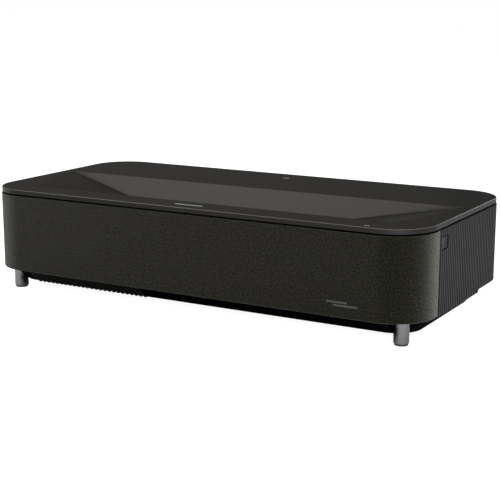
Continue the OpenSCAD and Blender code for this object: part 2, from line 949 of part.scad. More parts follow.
module phosphor_wheel() {
    color(metal_color) {
        difference() {
            rod_x(wheel_x, wheel_x + 1.2, wheel_y, wheel_z, wheel_r);
            rod_x(wheel_x + 0.8, wheel_x + 2, wheel_y, wheel_z, wheel_r - 8);
        }
        rod_x(wheel_x - 2, wheel_x + 2.4, wheel_y, wheel_z, 7);
        rod_x(wheel_x - 12, wheel_x, wheel_y, wheel_z, 2);
    }
}

module wheel_motor() {
    color(dark_metal_color) {
        difference() {
            rod_x(wheel_x - 20, wheel_x - 3, wheel_y, wheel_z, 12);
            rod_x(wheel_x - 13, wheel_x, wheel_y, wheel_z, 2 + shaft_gap);
        }
        difference() {
            block([wheel_x - 18, wheel_y - 8, inner_z], [wheel_x - 14, wheel_y + 8, wheel_z - 6]);
            rod_x(wheel_x - 20, wheel_x - 10, wheel_y, wheel_z, 11.9);
        }
        block([wheel_x - 26, wheel_y - 14, inner_z], [wheel_x - 6, wheel_y + 14, inner_z + 3]);
    }
}

module laser_bank() {
    color(brass_color) {
        difference() {
            block([bank_x0, sink_y0 + 2, 40], [bank_x1, sink_y1 - 2, 104]);
            for (z = [54, 72, 90])
                rod_x(bank_x0 - 1, bank_x1 - 6, wheel_y, z, pipe_r);
        }
        for (y = [-20, -6.5, 6.5, 20])
            for (z = [54, 68, 82, 96])
                rod_x(bank_x1 - eps, bank_x1 + 4, wheel_y + y, z, 4.5);
    }
}

module laser_heatsink() {
    fins = 15;
    step = (bank_x0 - sink_x0 - 2) / fins;
    color(metal_color)
        difference() {
            union() {
                block([sink_x0, sink_y0, sink_z0], [bank_x0, sink_y1, sink_z0 + 5]);
                for (i = [0 : fins])
                    translate([sink_x0 + i * step, sink_y0, sink_z0]) cube([i == fins ? 2 : 1.2, sink_y1 - sink_y0, sink_z1 - sink_z0]);
            }
            for (z = [54, 72, 90])
                rod_x(sink_x0 - 1, bank_x0 + 1, wheel_y, z, pipe_r);
        }
}

module heat_pipes() {
    color([0.72, 0.45, 0.3])
        for (z = [54, 72, 90])
            rod_x(sink_x0, bank_x1 - 6, wheel_y, z, pipe_r);
}

// ---- Fans ------------------------------------------------------------------------------

// Fan frame with its axis along X, from x = 0 to fan_t, round the origin
module fan_frame() {
    bore_r = fan_size / 2 - 2.5;
    difference() {
        translate([0, -fan_size / 2, -fan_size / 2]) cube([fan_t, fan_size, fan_size]);
        rod_x(-1, fan_t + 1, 0, 0, bore_r);
        for (y = [-1, 1])
            for (z = [-1, 1])
                rod_x(-1, fan_t + 1, y * (fan_size / 2 - 4.5), z * (fan_size / 2 - 4.5), 2);
    }
    // Motor seat on three arms
    difference() {
        union() {
            rod_x(0, 4, 0, 0, rotor_hub_r);
            for (a = [30, 150, 270])
                rotate([a, 0, 0]) translate([0, 0, -2]) cube([4, bore_r + 0.6, 4]);
        }
        rod_x(-1, 5, 0, 0, 2 + shaft_gap);
    }
}

// Bladed rotor for fan_frame
module fan_rotor() {
    blade_r = fan_size / 2 - 2.5 - rotor_gap;
    rod_x(5, fan_t - 2, 0, 0, rotor_hub_r);
    rod_x(1, 6, 0, 0, 2);
    intersection() {
        rod_x(5.5, fan_t - 2.5, 0, 0, blade_r);
        for (i = [0 : fan_blades - 1])
            rotate([i * 360 / fan_blades, 0, 0])
                translate([fan_t / 2 + 1.5, 0, rotor_hub_r - 1]) rotate([0, 0, 38])
                    translate([-14, -0.7, 0]) cube([28, 1.4, fan_size / 2]);
    }
}

module at_left_fan() {
    translate([-side_fan_x - fan_t, fan_y, fan_z]) children();
}

module at_right_fan() {
    translate([side_fan_x, fan_y, fan_z]) children();
}

module at_laser_fan() {
    translate([laser_fan_x, laser_fan_y, sink_z0 + fan_size / 2]) children();
}

module left_fan_frame() {
    color(case_color) at_left_fan() fan_frame();
}

module left_fan_rotor() {
    color(louvre_color) at_left_fan() fan_rotor();
}

module right_fan_frame() {
    color(case_color) at_right_fan() fan_frame();
}

module right_fan_rotor() {
    color(louvre_color) at_right_fan() fan_rotor();
}

module laser_fan_frame() {
    color(case_color) at_laser_fan() fan_frame();
}

module laser_fan_rotor() {
    color(louvre_color) at_laser_fan() fan_rotor();
}

// ---- Sound -----------------------------------------------------------------------------

module speaker_boxes() {
    wall = 3;
    color(case_color)
        both_sides()
            difference() {
                block([woofer_x - 48, -case_in_y, woofer_z - 40], [woofer_x + 48, box_back_y, woofer_z + 40]);
                block([woofer_x - 48 + wall, -case_in_y - 1, woofer_z - 40 + wall],
                    [woofer_x + 48 - wall, box_back_y - wall, woofer_z + 40 - wall]);
            }
}

// Basket, magnet and flange of one woofer, seen along +Y from the flange at local 0
module woofer_basket() {
    rotate([-90, 0, 0]) {
        difference() {
            union() {
                translate([0, 0, -2]) cylinder(h = 2, r = flange_r);
                cylinder(h = 26, r1 = woofer_r - 0.2, r2 = 22);
            }
            translate([0, 0, -3]) cylinder(h = 5, r = cone_r + 0.8);
            translate([0, 0, 2 - eps]) cylinder(h = 21, r1 = cone_r + 0.8, r2 = 19);
        }
        translate([0, 0, 26 - eps]) cylinder(h = 14, r = 28);
        // Rubber roll round the cone
        translate([0, 0, -2]) rotate_extrude() translate([(cone_r + flange_r) / 2 - 1, 0])
            intersection() {
                circle(2.6);
                translate([-4, -4]) square([8, 4]);
            }
    }
}

module woofer_baskets() {
    color(dark_metal_color)
        both_sides() translate([woofer_x, -case_y, woofer_z]) woofer_basket();
}

// Cone of one woofer with its dust cap
module woofer_cone() {
    rotate([-90, 0, 0])
        rotate_extrude() polygon([[0, 9], [9, 9], [cone_r - 1, -1.2], [cone_r - 0.2, -1.2],
            [cone_r - 0.2, -0.4], [cone_r - 1, 0], [12, 10.6], [12, 16], [0, 16]]);
}

module left_woofer_cone() {
    color(rubber_color) translate([-woofer_x, -case_y, woofer_z]) woofer_cone();
}

module right_woofer_cone() {
    color(rubber_color) translate([woofer_x, -case_y, woofer_z]) woofer_cone();
}

module tweeters() {
    color(dark_metal_color)
        both_sides()
            translate([tweeter_x, -case_y, tweeter_z]) rotate([-90, 0, 0]) {
                difference() {
                    translate([0, 0, -1.5]) cylinder(h = 1.5, r = tweeter_r + 4);
                    translate([0, 0, -2]) cylinder(h = 3, r = tweeter_r - 3);
                }
                translate([0, 0, -eps]) cylinder(h = 16, r = tweeter_r);
                intersection() {
                    translate([0, 0, 6]) sphere(r = 9);
                    translate([0, 0, -2.4]) cylinder(h = 4, r = 9);
                }
            }
}

// ---- Boards and connectors -------------------------------------------------------------

module main_board() {
    posts = [for (x = [102, 293]) for (y = [52, 114]) [x, y]];
    color(board_color)
        block([96, 46, main_z], [300, 152, main_z + board_t]);
    color(metal_color)
        for (p = posts)
            rod_z(inner_z, main_z + eps, p[0], p[1], 3);
    // Processor sink and chips
    color(dark_metal_color) {
        block([180, 80, main_z + board_t - eps], [230, 120, main_z + board_t + 3]);
        for (i = [0 : 9])
            block([182 + i * 4.9, 80, main_z + board_t + 2.9], [183.6 + i * 4.9, 120, main_z + 22]);
        for (x = [112, 132, 244, 264])
            block([x, 84, main_z + board_t - eps], [x + 14, 100, main_z + board_t + 1.6]);
    }
}

module power_board() {
    color([0.75, 0.6, 0.35])
        block([108, 44, power_z], [288, 140, power_z + board_t]);
    color(metal_color) {
        for (x = [114, 282])
            for (y = [50, 122])
                rod_z(inner_z, power_z + eps, x, y, 3);
        block([120, 60, power_z + board_t - eps], [154, 96, power_z + 30]);
        block([168, 52, power_z + board_t - eps], [172, 130, power_z + 34]);
    }
    color(rubber_color)
        for (x = [192, 216, 240])
            for (y = [64, 88])
                rod_z(power_z + board_t - eps, power_z + 32, x, y, 9);
}

// Rectangular socket shell, open to +Y
module socket_shell(x, z, w, h, wall, depth) {
    difference() {
        block([x - w / 2, port_face_y - depth, z - h / 2], [x + w / 2, port_face_y, z + h / 2]);
        block([x - w / 2 + wall, port_face_y - depth + 2, z - h / 2 + wall], [x + w / 2 - wall, port_face_y + 1, z + h / 2 - wall]);
    }
}

module rear_ports() {
    board_top = main_z + board_t;
    color(metal_color) {
        for (x = hdmi_x)
            socket_shell(x, port_z, 15.4, 7, 0.6, 15);
        socket_shell(usb_x, port_z, 14.4, 7.6, 0.6, 15);
    }
    color(case_color) {
        socket_shell(optical_x, port_z, 10.4, 9.2, 1.2, 15);
        // Feet of the sockets on the board's edge
        for (x = concat(hdmi_x, [usb_x, optical_x]))
            difference() {
                block([x - 5, port_face_y - 20, board_top], [x + 5, port_face_y - 14.9, port_z + 3]);
                block([x - 4.9, port_face_y - 15 + eps, board_top - 1], [x + 4.9, port_face_y, port_z + 4]);
            }
    }
}

module power_inlet() {
    back = 26;
    color(case_color) {
        socket_shell(inlet_x, inlet_z, 28, 20, 2, back);
        for (x = [-7, 0, 7])
            block([inlet_x + x - 1, port_face_y - back + 1.9, inlet_z - 2.4], [inlet_x + x + 1, port_face_y - 6, inlet_z + 2.4]);
    }
}

lower_case();
top_cover();
ramp_panel();
window_bezel();
left_louvre();
right_louvre();
rear_panel();
status_lens();
sensor_window();
name_inlay();
grille_frame();
grille_cloth();
badge_plate();
power_button();
power_switch();
intake_cover();
air_filter();
left_foot_leg();
left_foot_pad();
right_foot_leg();
right_foot_pad();
foot_inserts();
rear_feet();
base_screws();
lens_shutter();
window_frame();
window_glass();
window_gasket();
shutter_pinion();
shutter_motor();
mirror_bracket();
concave_mirror();
lens_barrel();
front_lens();
focus_ring();
focus_gear();
focus_motor();
engine_housing();
prism_block();
light_panels();
phosphor_wheel();
wheel_motor();
laser_bank();
laser_heatsink();
heat_pipes();
left_fan_frame();
left_fan_rotor();
right_fan_frame();
right_fan_rotor();
laser_fan_frame();
laser_fan_rotor();
speaker_boxes();
woofer_baskets();
left_woofer_cone();
right_woofer_cone();
tweeters();
main_board();
power_board();
rear_ports();
power_inlet();
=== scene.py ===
"""Looks of the home projector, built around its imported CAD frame.

Lengths are in metres and places come from the frame: +X right seen from the fabric front,
-Y front, +Y wall, +Z up. Sections: dimensions, materials, mesh helpers, pieces, stage."""

import json
import math

import bmesh
import bpy
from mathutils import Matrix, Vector
from mathutils.geometry import delaunay_2d_cdt


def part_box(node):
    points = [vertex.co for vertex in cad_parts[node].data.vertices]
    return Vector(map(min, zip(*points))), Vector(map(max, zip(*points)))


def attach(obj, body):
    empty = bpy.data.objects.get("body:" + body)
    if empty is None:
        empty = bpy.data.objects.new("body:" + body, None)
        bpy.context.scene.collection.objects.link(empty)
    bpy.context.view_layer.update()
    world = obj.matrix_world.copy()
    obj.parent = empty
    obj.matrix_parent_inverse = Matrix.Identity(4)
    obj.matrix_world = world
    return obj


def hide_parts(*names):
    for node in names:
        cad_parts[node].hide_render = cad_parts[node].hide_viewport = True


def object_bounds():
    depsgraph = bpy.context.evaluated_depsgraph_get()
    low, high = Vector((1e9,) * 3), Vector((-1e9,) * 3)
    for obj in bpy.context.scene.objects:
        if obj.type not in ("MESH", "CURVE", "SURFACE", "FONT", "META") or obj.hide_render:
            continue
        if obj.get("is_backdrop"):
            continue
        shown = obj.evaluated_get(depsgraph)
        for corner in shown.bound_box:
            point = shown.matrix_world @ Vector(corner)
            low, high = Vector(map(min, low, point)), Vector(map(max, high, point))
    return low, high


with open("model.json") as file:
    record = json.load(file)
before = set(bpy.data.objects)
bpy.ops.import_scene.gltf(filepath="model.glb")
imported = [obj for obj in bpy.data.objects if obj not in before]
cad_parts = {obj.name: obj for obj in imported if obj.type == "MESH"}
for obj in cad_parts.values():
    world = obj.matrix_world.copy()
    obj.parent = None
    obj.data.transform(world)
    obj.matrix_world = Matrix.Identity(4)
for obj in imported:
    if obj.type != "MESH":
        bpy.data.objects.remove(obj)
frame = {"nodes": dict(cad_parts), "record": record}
cad_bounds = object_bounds()
scene = bpy.context.scene

MM = 0.001

# ---- Dimensions -----------------------------------------------------------------------------

CLOTH_LOW, CLOTH_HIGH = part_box("grille_cloth")
COVER_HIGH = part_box("top_cover")[1]
LOUVRE_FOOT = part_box("right_louvre")[0].z
PAD_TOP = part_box("right_foot_pad")[1].z

# The button's cap and its opening, trimmed to the size seen from the front right
BUTTON_LOW, BUTTON_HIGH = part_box("power_button")
BUTTON_LOW += Vector((0, 0, 1.2 * MM))
BUTTON_HIGH -= Vector((0, 3.2 * MM, 2.2 * MM))

# Cabinet
HALF_W = CLOTH_HIGH.x
HALF_D = -CLOTH_LOW.y
CORNER_R = 60 * MM
TOP_Z = COVER_HIGH.z
COVER_INSET = HALF_W - COVER_HIGH.x
RIM_T = 6.7 * MM
RIM_Z = TOP_Z - RIM_T
CASE_INSET = 9 * MM
SKIRT_Z = CLOTH_LOW.z
SKIN_TOP = CLOTH_HIGH.z
SEAM_Y = CLOTH_HIGH.y

# Light recess in the top cover
RECESS_FRONT_Y = -HALF_D + 45 * MM
RECESS_REAR_Y = 25 * MM
RAMP_FOOT_Y = -50 * MM
RECESS_DEPTH = 35.4 * MM
RECESS_REAR_HALF = 333 * MM
RAMP_FOOT_HALF = 100 * MM
SIDE_LEAN = 0.29
WALL_DRAFT = 0.8 * MM
WALL_T = 2.2 * MM
SKIN_T = 2.4 * MM
WINDOW_HALF = 72 * MM
WINDOW_Y0 = -116 * MM
WINDOW_Y1 = -68 * MM
CLOSE = 1e-6


def recess_edge(y):
    """Half width of the recess at y, where the plane of a side facet meets the top face."""
    return RECESS_REAR_HALF - SIDE_LEAN * (RECESS_REAR_Y - y)


SIDE_SLOPE = (recess_edge(RAMP_FOOT_Y) - RAMP_FOOT_HALF) / RECESS_DEPTH


# ---- Materials ------------------------------------------------------------------------------

CLOUD = 28 * MM
MOTTLE = 2.4 * MM


def opaque(colour, share=1.0):
    """A share of a colour, with full alpha."""
    return tuple(c * share for c in colour) + (1,)


class Shader:
    """A node material with a Principled shader, and short calls that add nodes to it."""

    def __init__(self, name, **constants):
        self.material = bpy.data.materials.new(name)
        self.material.use_nodes = True
        self.tree = self.material.node_tree
        self.bsdf = self.tree.nodes["Principled BSDF"]
        for socket, value in constants.items():
            self.bsdf.inputs[socket.replace("_", " ")].default_value = value

    @classmethod
    def over(cls, material):
        """The same calls for a material that is already built."""
        made = cls.__new__(cls)
        made.material = material
        made.tree = material.node_tree
        made.bsdf = made.tree.nodes["Principled BSDF"]
        return made

    def node(self, kind, inputs=(), **settings):
        """A new node. Inputs maps sockets to numbers, colours or other nodes' outputs."""
        made = self.tree.nodes.new("ShaderNode" + kind)
        for key, value in settings.items():
            setattr(made, key, value)
        for socket, value in dict(inputs).items():
            self.join(made.inputs[socket], value)
        return made

    def join(self, socket, value):
        if isinstance(value, bpy.types.NodeSocket):
            self.tree.links.new(value, socket)
        else:
            socket.default_value = value

    def position(self, stretch=(1, 1, 1)):
        """Object coordinates in metres, stretched along each axis."""
        coords = self.node("TexCoord").outputs["Object"]
        return self.node("Mapping", {"Vector": coords, "Scale": stretch}).outputs["Vector"]

    def noise(self, size, detail=2.0, stretch=(1, 1, 1), vector=None):
        """Noise from 0 to 1 with features of that size in metres."""
        place = vector or self.position(stretch)
        made = self.node("TexNoise", {"Vector": place, "Scale": 1 / size, "Detail": detail})
        return made.outputs["Fac"]

    def math(self, operation, a, b=0.0):
        made = self.node("Math", operation=operation)
        self.join(made.inputs[0], a)
        self.join(made.inputs[1], b)
        return made.outputs[0]

    def spread(self, value, low, high):
        """Maps the middle of a noise value onto low to high."""
        made = self.node("MapRange", {"Value": value, "From Min": 0.3, "From Max": 0.7})
        self.join(made.inputs["To Min"], low)
        self.join(made.inputs["To Max"], high)
        return made.outputs["Result"]

    def blend(self, factor, a, b):
        """Mix of two colours."""
        made = self.node("Mix", data_type="RGBA")
        self.join(made.inputs["Factor"], factor)
        self.join(made.inputs[6], a)
        self.join(made.inputs[7], b)
        return made.outputs[2]

    def tint(self, colour, share, factor):
        """Colour that varies by a share either way as factor goes from 0 to 1."""
        varied = self.blend(self.spread(factor, 0, 1), opaque(colour, 1 - share), opaque(colour, 1 + share))
        self.join(self.bsdf.inputs["Base Color"], varied)

    def colour(self):
        """The socket that the base colour comes from."""
        return self.bsdf.inputs["Base Color"].links[0].from_socket

    def rough(self, value, low, high):
        self.join(self.bsdf.inputs["Roughness"], self.spread(value, low, high))

    def bump(self, height, depth, strength=1.0, after=None):
        """Bump of that depth in metres, on top of another bump's normal."""
        made = self.node("Bump", {"Height": height, "Distance": depth, "Strength": strength})
        if after is not None:
            self.join(made.inputs["Normal"], after)
        self.join(self.bsdf.inputs["Normal"], made.outputs["Normal"])
        return made.outputs["Normal"]


def grained(name, colour, rough, grain=0.35, depth=0.012, vary=0.1, gloss=0.04, painted_light=None, **constants):
    """Moulded or painted surface: fine grain, slow clouds of tone and uneven gloss. Grain and depth in mm.

    Painted light and shade is given as (attribute, share, roughness): a point attribute from 0 to 1, and the
    share of the colour and the roughness where it is 0. A share below 1 paints shade there, a share above 1
    paints a highlight."""
    s = Shader(name, **constants)
    fine = s.noise(grain * MM, detail=3)
    slow = s.noise(CLOUD, detail=4)
    tone = s.math("MULTIPLY", s.math("ADD", fine, slow), 0.5)
    s.tint(colour, vary, tone)
    s.rough(slow, rough - gloss, rough + gloss)
    s.bump(fine, depth * MM)
    # Painted light: where the attribute is 0 the colour is scaled by the share, painting shade or a
    # highlight.
    if painted_light:
        attribute, share, rough_low = painted_light
        raised = s.node("Attribute", attribute_name=attribute).outputs["Fac"]
        s.join(s.bsdf.inputs["Base Color"], s.blend(raised, opaque(colour, share), s.colour()))
        plain = s.bsdf.inputs["Roughness"].links[0].from_socket
        mixed = s.node("Mix", {"Factor": raised}, data_type="FLOAT")
        s.join(mixed.inputs[2], rough_low)
        s.join(mixed.inputs[3], plain)
        s.join(s.bsdf.inputs["Roughness"], mixed.outputs[0])
    return s.material


def metal(name, colour, rough, stretch=(1, 1, 1), grain=0.25, depth=0.006, vary=0.08, **constants):
    """Bare metal with fine lines drawn out along the axes whose stretch is small."""
    s = Shader(name, Metallic=1.0, **constants)
    lines = s.noise(grain * MM, detail=4, stretch=stretch)
    slow = s.noise(9 * MM, detail=3)
    s.tint(colour, vary, s.math("MULTIPLY", s.math("ADD", lines, slow), 0.5))
    s.rough(lines, rough - 0.07, rough + 0.07)
    s.bump(lines, depth * MM)
    return s.material


def woven(name, warp, weft, pitch):
    """Plain weave of two melange yarns on the UV map, in metres, with a mottled nap and a painted highlight
    along its top edge.
    """
    dark_yarn, bright_yarn, worn, hem_highlight = 0.55, 1.5, 0.2, 2.8
    s = Shader(name, Roughness=0.9, Sheen_Roughness=0.4, Specular_IOR_Level=0.02)
    s.bsdf.inputs["Sheen Tint"].default_value = (0.95, 0.93, 0.86, 1)
    uv = s.node("UVMap", uv_map="cloth").outputs["UV"]
    across = s.node("SeparateXYZ", {"Vector": uv})
    turn = math.tau / (2 * pitch)
    u = s.math("SINE", s.math("MULTIPLY", across.outputs["X"], turn))
    v = s.math("SINE", s.math("MULTIPLY", across.outputs["Y"], turn))
    checker = s.math("MULTIPLY", u, v)
    over = s.node("MapRange", {"Value": checker, "From Min": -0.25, "From Max": 0.25}).outputs["Result"]
    along_v = s.node("Mapping", {"Vector": uv, "Scale": (1, 0.12, 1)}).outputs["Vector"]
    along_u = s.node("Mapping", {"Vector": uv, "Scale": (0.12, 1, 1)}).outputs["Vector"]
    warp_tone = s.noise(pitch * 0.9, detail=2, vector=along_v)
    weft_tone = s.noise(pitch * 0.9, detail=2, vector=along_u)
    slow = s.noise(MOTTLE, detail=1, vector=uv)
    s.join(s.bsdf.inputs["Sheen Weight"], s.spread(slow, 0.34, 0.17))
    yarns = [s.blend(s.spread(tone, 0, 1), opaque(dye, dark_yarn), opaque(dye, bright_yarn))
        for tone, dye in ((warp_tone, warp), (weft_tone, weft))]
    cloudy = s.blend(s.spread(slow, 0, 1), s.blend(over, *yarns), opaque(warp, worn))
    # Painted highlight: the cloth's top rounding, marked by the attribute, is lightened to stand for the
    # light it catches.
    edge = s.node("Attribute", attribute_name="edge").outputs["Fac"]
    s.join(s.bsdf.inputs["Base Color"], s.blend(edge, cloudy, opaque(warp, hem_highlight)))
    crown = s.math("ADD", s.math("ABSOLUTE", u), s.math("ABSOLUTE", v))
    first = s.bump(crown, 0.10 * MM)
    s.bump(s.noise(pitch * 0.35, detail=3, vector=uv), 0.05 * MM, after=first)
    return s.material


def optic(name, colour, rough, coat):
    """Coated glass with faint uneven polish."""
    s = Shader(name, Transmission_Weight=1.0, IOR=1.5, Coat_Weight=coat)
    haze = s.noise(6 * MM, detail=3)
    s.tint(colour, 0.03, haze)
    s.rough(haze, rough, rough + 0.02)
    return s.material


def pleated(name, colour):
    """Felted filter paper."""
    s = Shader(name, Roughness=0.95, Specular_IOR_Level=0.1)
    fibre = s.noise(0.3 * MM, detail=5, stretch=(1, 0.3, 1))
    s.tint(colour, 0.15, fibre)
    s.bump(fibre, 0.06 * MM)
    return s.material


def board(name, colour, track):
    """Circuit board: lacquer over a maze of tracks."""
    s = Shader(name, Roughness=0.35, Coat_Weight=0.4, Coat_Roughness=0.2)
    cells = s.node("TexVoronoi", {"Vector": s.position(), "Scale": 260.0}, distance="MANHATTAN", feature="F1")
    maze = s.node("MapRange", {"Value": cells.outputs["Distance"], "From Min": 0.32, "From Max": 0.36})
    s.join(s.bsdf.inputs["Base Color"], s.blend(maze.outputs["Result"], opaque(colour), opaque(track)))
    s.bump(maze.outputs["Result"], 0.03 * MM)
    return s.material


COVER_TONE = (0.0078, 0.0072, 0.0066)
COVER_LOOK = {"grain": 0.3, "depth": 0.006, "vary": 0.05, "gloss": 0.012, "Specular_IOR_Level": 0.12}
SLOTS = {
    "case_black": grained("case_black", (0.0018, 0.0018, 0.0019), 0.5, grain=0.5, depth=0.02,
        Specular_IOR_Level=0.001),
    "cover_satin": grained("cover_satin", COVER_TONE, 0.44, **COVER_LOOK),
    "ramp_satin": grained("ramp_satin", (0.0232, 0.0223, 0.0209), 0.5, grain=0.4, depth=0.012, vary=0.05,
        gloss=0.012),
    "shutter_satin": grained("shutter_satin", (0.018, 0.018, 0.018), 0.4, grain=0.3, depth=0.006),
    "louvre_grey": grained("louvre_grey", (0.0065, 0.0064, 0.0066), 0.42, grain=0.4, depth=0.01,
        Specular_IOR_Level=0.09),
    "rear_grey": grained("rear_grey", (0.028, 0.028, 0.0285), 0.5, grain=0.6, depth=0.02,
        Specular_IOR_Level=0.3),
    "grille_fabric": woven("grille_fabric", (0.0086, 0.0084, 0.0055), (0.0071, 0.0069, 0.0045), 0.55 * MM),
    "inlay_metal": grained("inlay_metal", (0.30, 0.30, 0.305), 0.34, grain=0.5, depth=0.004, vary=0.06,
        Metallic=0.35),
    "lens_clear": grained("lens_clear", (0.20, 0.20, 0.20), 0.15, grain=2, depth=0.0, Coat_Weight=0.5),
    "window_glass": optic("window_glass", (0.90, 0.95, 0.97), 0.02, 0.3),
    "mirror": metal("mirror", (0.9, 0.91, 0.93), 0.09, grain=4, depth=0.0005, vary=0.02),
    "foot_metal": metal("foot_metal", (0.156, 0.156, 0.157), 0.17, stretch=(1, 1, 0.04), grain=0.3,
        vary=0.04),
    "steel": metal("steel", (0.42, 0.42, 0.43), 0.36),
    "aluminium": metal("aluminium", (0.72, 0.73, 0.75), 0.34, stretch=(1, 1, 0.06)),
    "cast_alloy": metal("cast_alloy", (0.34, 0.35, 0.36), 0.55, grain=0.9, depth=0.05),
    "wheel_metal": metal("wheel_metal", (0.80, 0.78, 0.60), 0.25, grain=0.4),
    "brass": metal("brass", (0.72, 0.52, 0.24), 0.32),
    "copper": metal("copper", (0.78, 0.40, 0.26), 0.3, stretch=(0.05, 1, 1)),
    "rubber": grained("rubber", (0.012, 0.012, 0.012), 0.82, grain=0.6, depth=0.04),
    "gear_nylon": grained("gear_nylon", (0.62, 0.60, 0.54), 0.45, grain=0.8, depth=0.01, vary=0.05),
    "fan_plastic": grained("fan_plastic", (0.016, 0.016, 0.017), 0.38, grain=0.7, depth=0.01),
    "cone_paper": grained("cone_paper", (0.025, 0.024, 0.023), 0.88, grain=0.7, depth=0.06, vary=0.3),
    "filter_paper": pleated("filter_paper", (0.016, 0.016, 0.015)),
    "board_green": board("board_green", (0.010, 0.085, 0.040), (0.03, 0.16, 0.07)),
    "board_tan": board("board_tan", (0.36, 0.24, 0.10), (0.55, 0.40, 0.20)),
}

# Looks of single pieces, which stand for a slot's material where the mesh carries an attribute.
# Through that attribute they paint shade into grooves and borders, or a highlight onto the rim's rounded
# edge.
# Louvre ribs with painted shade: the grooves between ribs, where the attribute is 0, are darkened almost to
# black.
RIBBED_GREY = grained("louvre_ribbed", (0.0131, 0.0130, 0.0131), 0.42, grain=0.4, depth=0.01,
    painted_light=("crest", 0.02, 0.8), Specular_IOR_Level=0.11)
# Cover with a painted highlight: the rim's rounded edge takes ten times the cover's colour and a low
# roughness.
RIM_HIGHLIGHT_SATIN = grained("cover_painted_highlight", COVER_TONE, 0.44, painted_light=("flat", 10.0, 0.2), **COVER_LOOK)
# Intake ribs with painted light: the crests take a tone lighter than the case black for the light they catch,
# and the grooves between ribs are painted almost black as shade.
INTAKE_BLACK = grained("intake_black", (0.018, 0.018, 0.0181), 0.5, grain=0.5, depth=0.015,
    painted_light=("crest", 0.05, 0.6), Specular_IOR_Level=0.002)
# Badge with painted shadow: the border round each raised bar is darkened almost to black.
BADGE_GREY = grained("badge_grey", (0.034, 0.034, 0.033), 0.45, grain=0.5, depth=0.006,
    painted_light=("raised", 0.06, 0.6), Specular_IOR_Level=0.15)
RAMP_SHADE_WIDTH = 40 * MM
RAMP_SHADE_TONE = (0.0098, 0.0094, 0.0088)


def ramp_with_painted_shade():
    """The ramp's material with painted shade along its slanted sides: the colour darkens where they blend
    into the facets near the rear, standing for the shading across that blend.
    """
    made = SLOTS["ramp_satin"].copy()
    s = Shader.over(made)
    place = s.node("SeparateXYZ", {"Vector": s.position()}).outputs
    run, flare = RECESS_REAR_Y - RAMP_FOOT_Y, RECESS_REAR_HALF - RAMP_FOOT_HALF
    share = s.math("DIVIDE", s.math("SUBTRACT", place["Y"], RAMP_FOOT_Y), run)
    half = s.math("ADD", s.math("MULTIPLY", share, flare), RAMP_FOOT_HALF)
    inside = s.math("SUBTRACT", half, s.math("ABSOLUTE", place["X"]))
    width = s.math("ADD", s.math("MULTIPLY", s.math("POWER", share, 2.0), RAMP_SHADE_WIDTH), 1 * MM)
    depth = s.math("DIVIDE", inside, width)
    inner = s.node("MapRange", {"Value": depth}, interpolation_type="SMOOTHSTEP").outputs["Result"]
    # Painted shade: the colour darkens towards the slanted sides.
    s.join(s.bsdf.inputs["Base Color"], s.blend(inner, opaque(RAMP_SHADE_TONE), s.colour()))
    return made


RAMP_SATIN_SHADED = ramp_with_painted_shade()
NODE_SLOTS = {part["node"]: part["material_slot"] for part in frame["record"]["subparts"]}

# ---- Mesh helpers ---------------------------------------------------------------------------


def arc(x, y, r, start, end, steps):
    """Points on an arc round (x, y), angles in degrees."""
    angles = [math.radians(start + (end - start) * i / steps) for i in range(steps + 1)]
    return [(x + r * math.cos(a), y + r * math.sin(a)) for a in angles]


def round_loop(x, y, r, steps):
    """Closed rectangle with corners of radius r about (x, y) and its mirrors, counterclockwise."""
    corners = [(x, y, 0), (-x, y, 90), (-x, -y, 180), (x, -y, 270)]
    return [p for cx, cy, a in corners for p in arc(cx, cy, r, a, a + 90, steps)]


def plan_loop(inset):
    """Closed plan outline of the cabinet, moved inwards, counterclockwise from the right side."""
    return round_loop(HALF_W - CORNER_R, HALF_D - CORNER_R, CORNER_R - inset, 24)


def piece(name, verts, faces, body, slot, replaced, sharp, look=None):
    """Links a mesh as a piece that rides on a body and replaces CAD nodes, with edges sharp above that angle.

    It wears the slot's material, or a look that stands for it."""
    mesh = bpy.data.meshes.new(name)
    mesh.from_pydata([tuple(v) for v in verts], [], faces)
    tidy = bmesh.new()
    tidy.from_mesh(mesh)
    bmesh.ops.remove_doubles(tidy, verts=tidy.verts, dist=CLOSE)
    bmesh.ops.recalc_face_normals(tidy, faces=tidy.faces)
    tidy.to_mesh(mesh)
    tidy.free()
    made = bpy.data.objects.new(name, mesh)
    scene.collection.objects.link(made)
    mesh.materials.append(look or SLOTS[slot])
    mesh.shade_smooth()
    mesh.set_sharp_from_angle(angle=math.radians(sharp))
    normals = made.modifiers.new("weighted_normals", "WEIGHTED_NORMAL")
    normals.keep_sharp = True
    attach(made, body)
    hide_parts(*replaced)
    return made


def stitch(rings):
    """Quads between closed rings of equal length, capped at both ends. Returns (vertices, faces)."""
    count = len(rings[0])
    verts = [v for ring in rings for v in ring]
    faces = []
    for k in range(len(rings) - 1):
        for i in range(count):
            j = (i + 1) % count
            a, b = k * count, (k + 1) * count
            faces.append((a + i, a + j, b + j, b + i))
    faces.append(tuple(range(count)))
    faces.append(tuple(range(len(verts) - count, len(verts))))
    return verts, faces


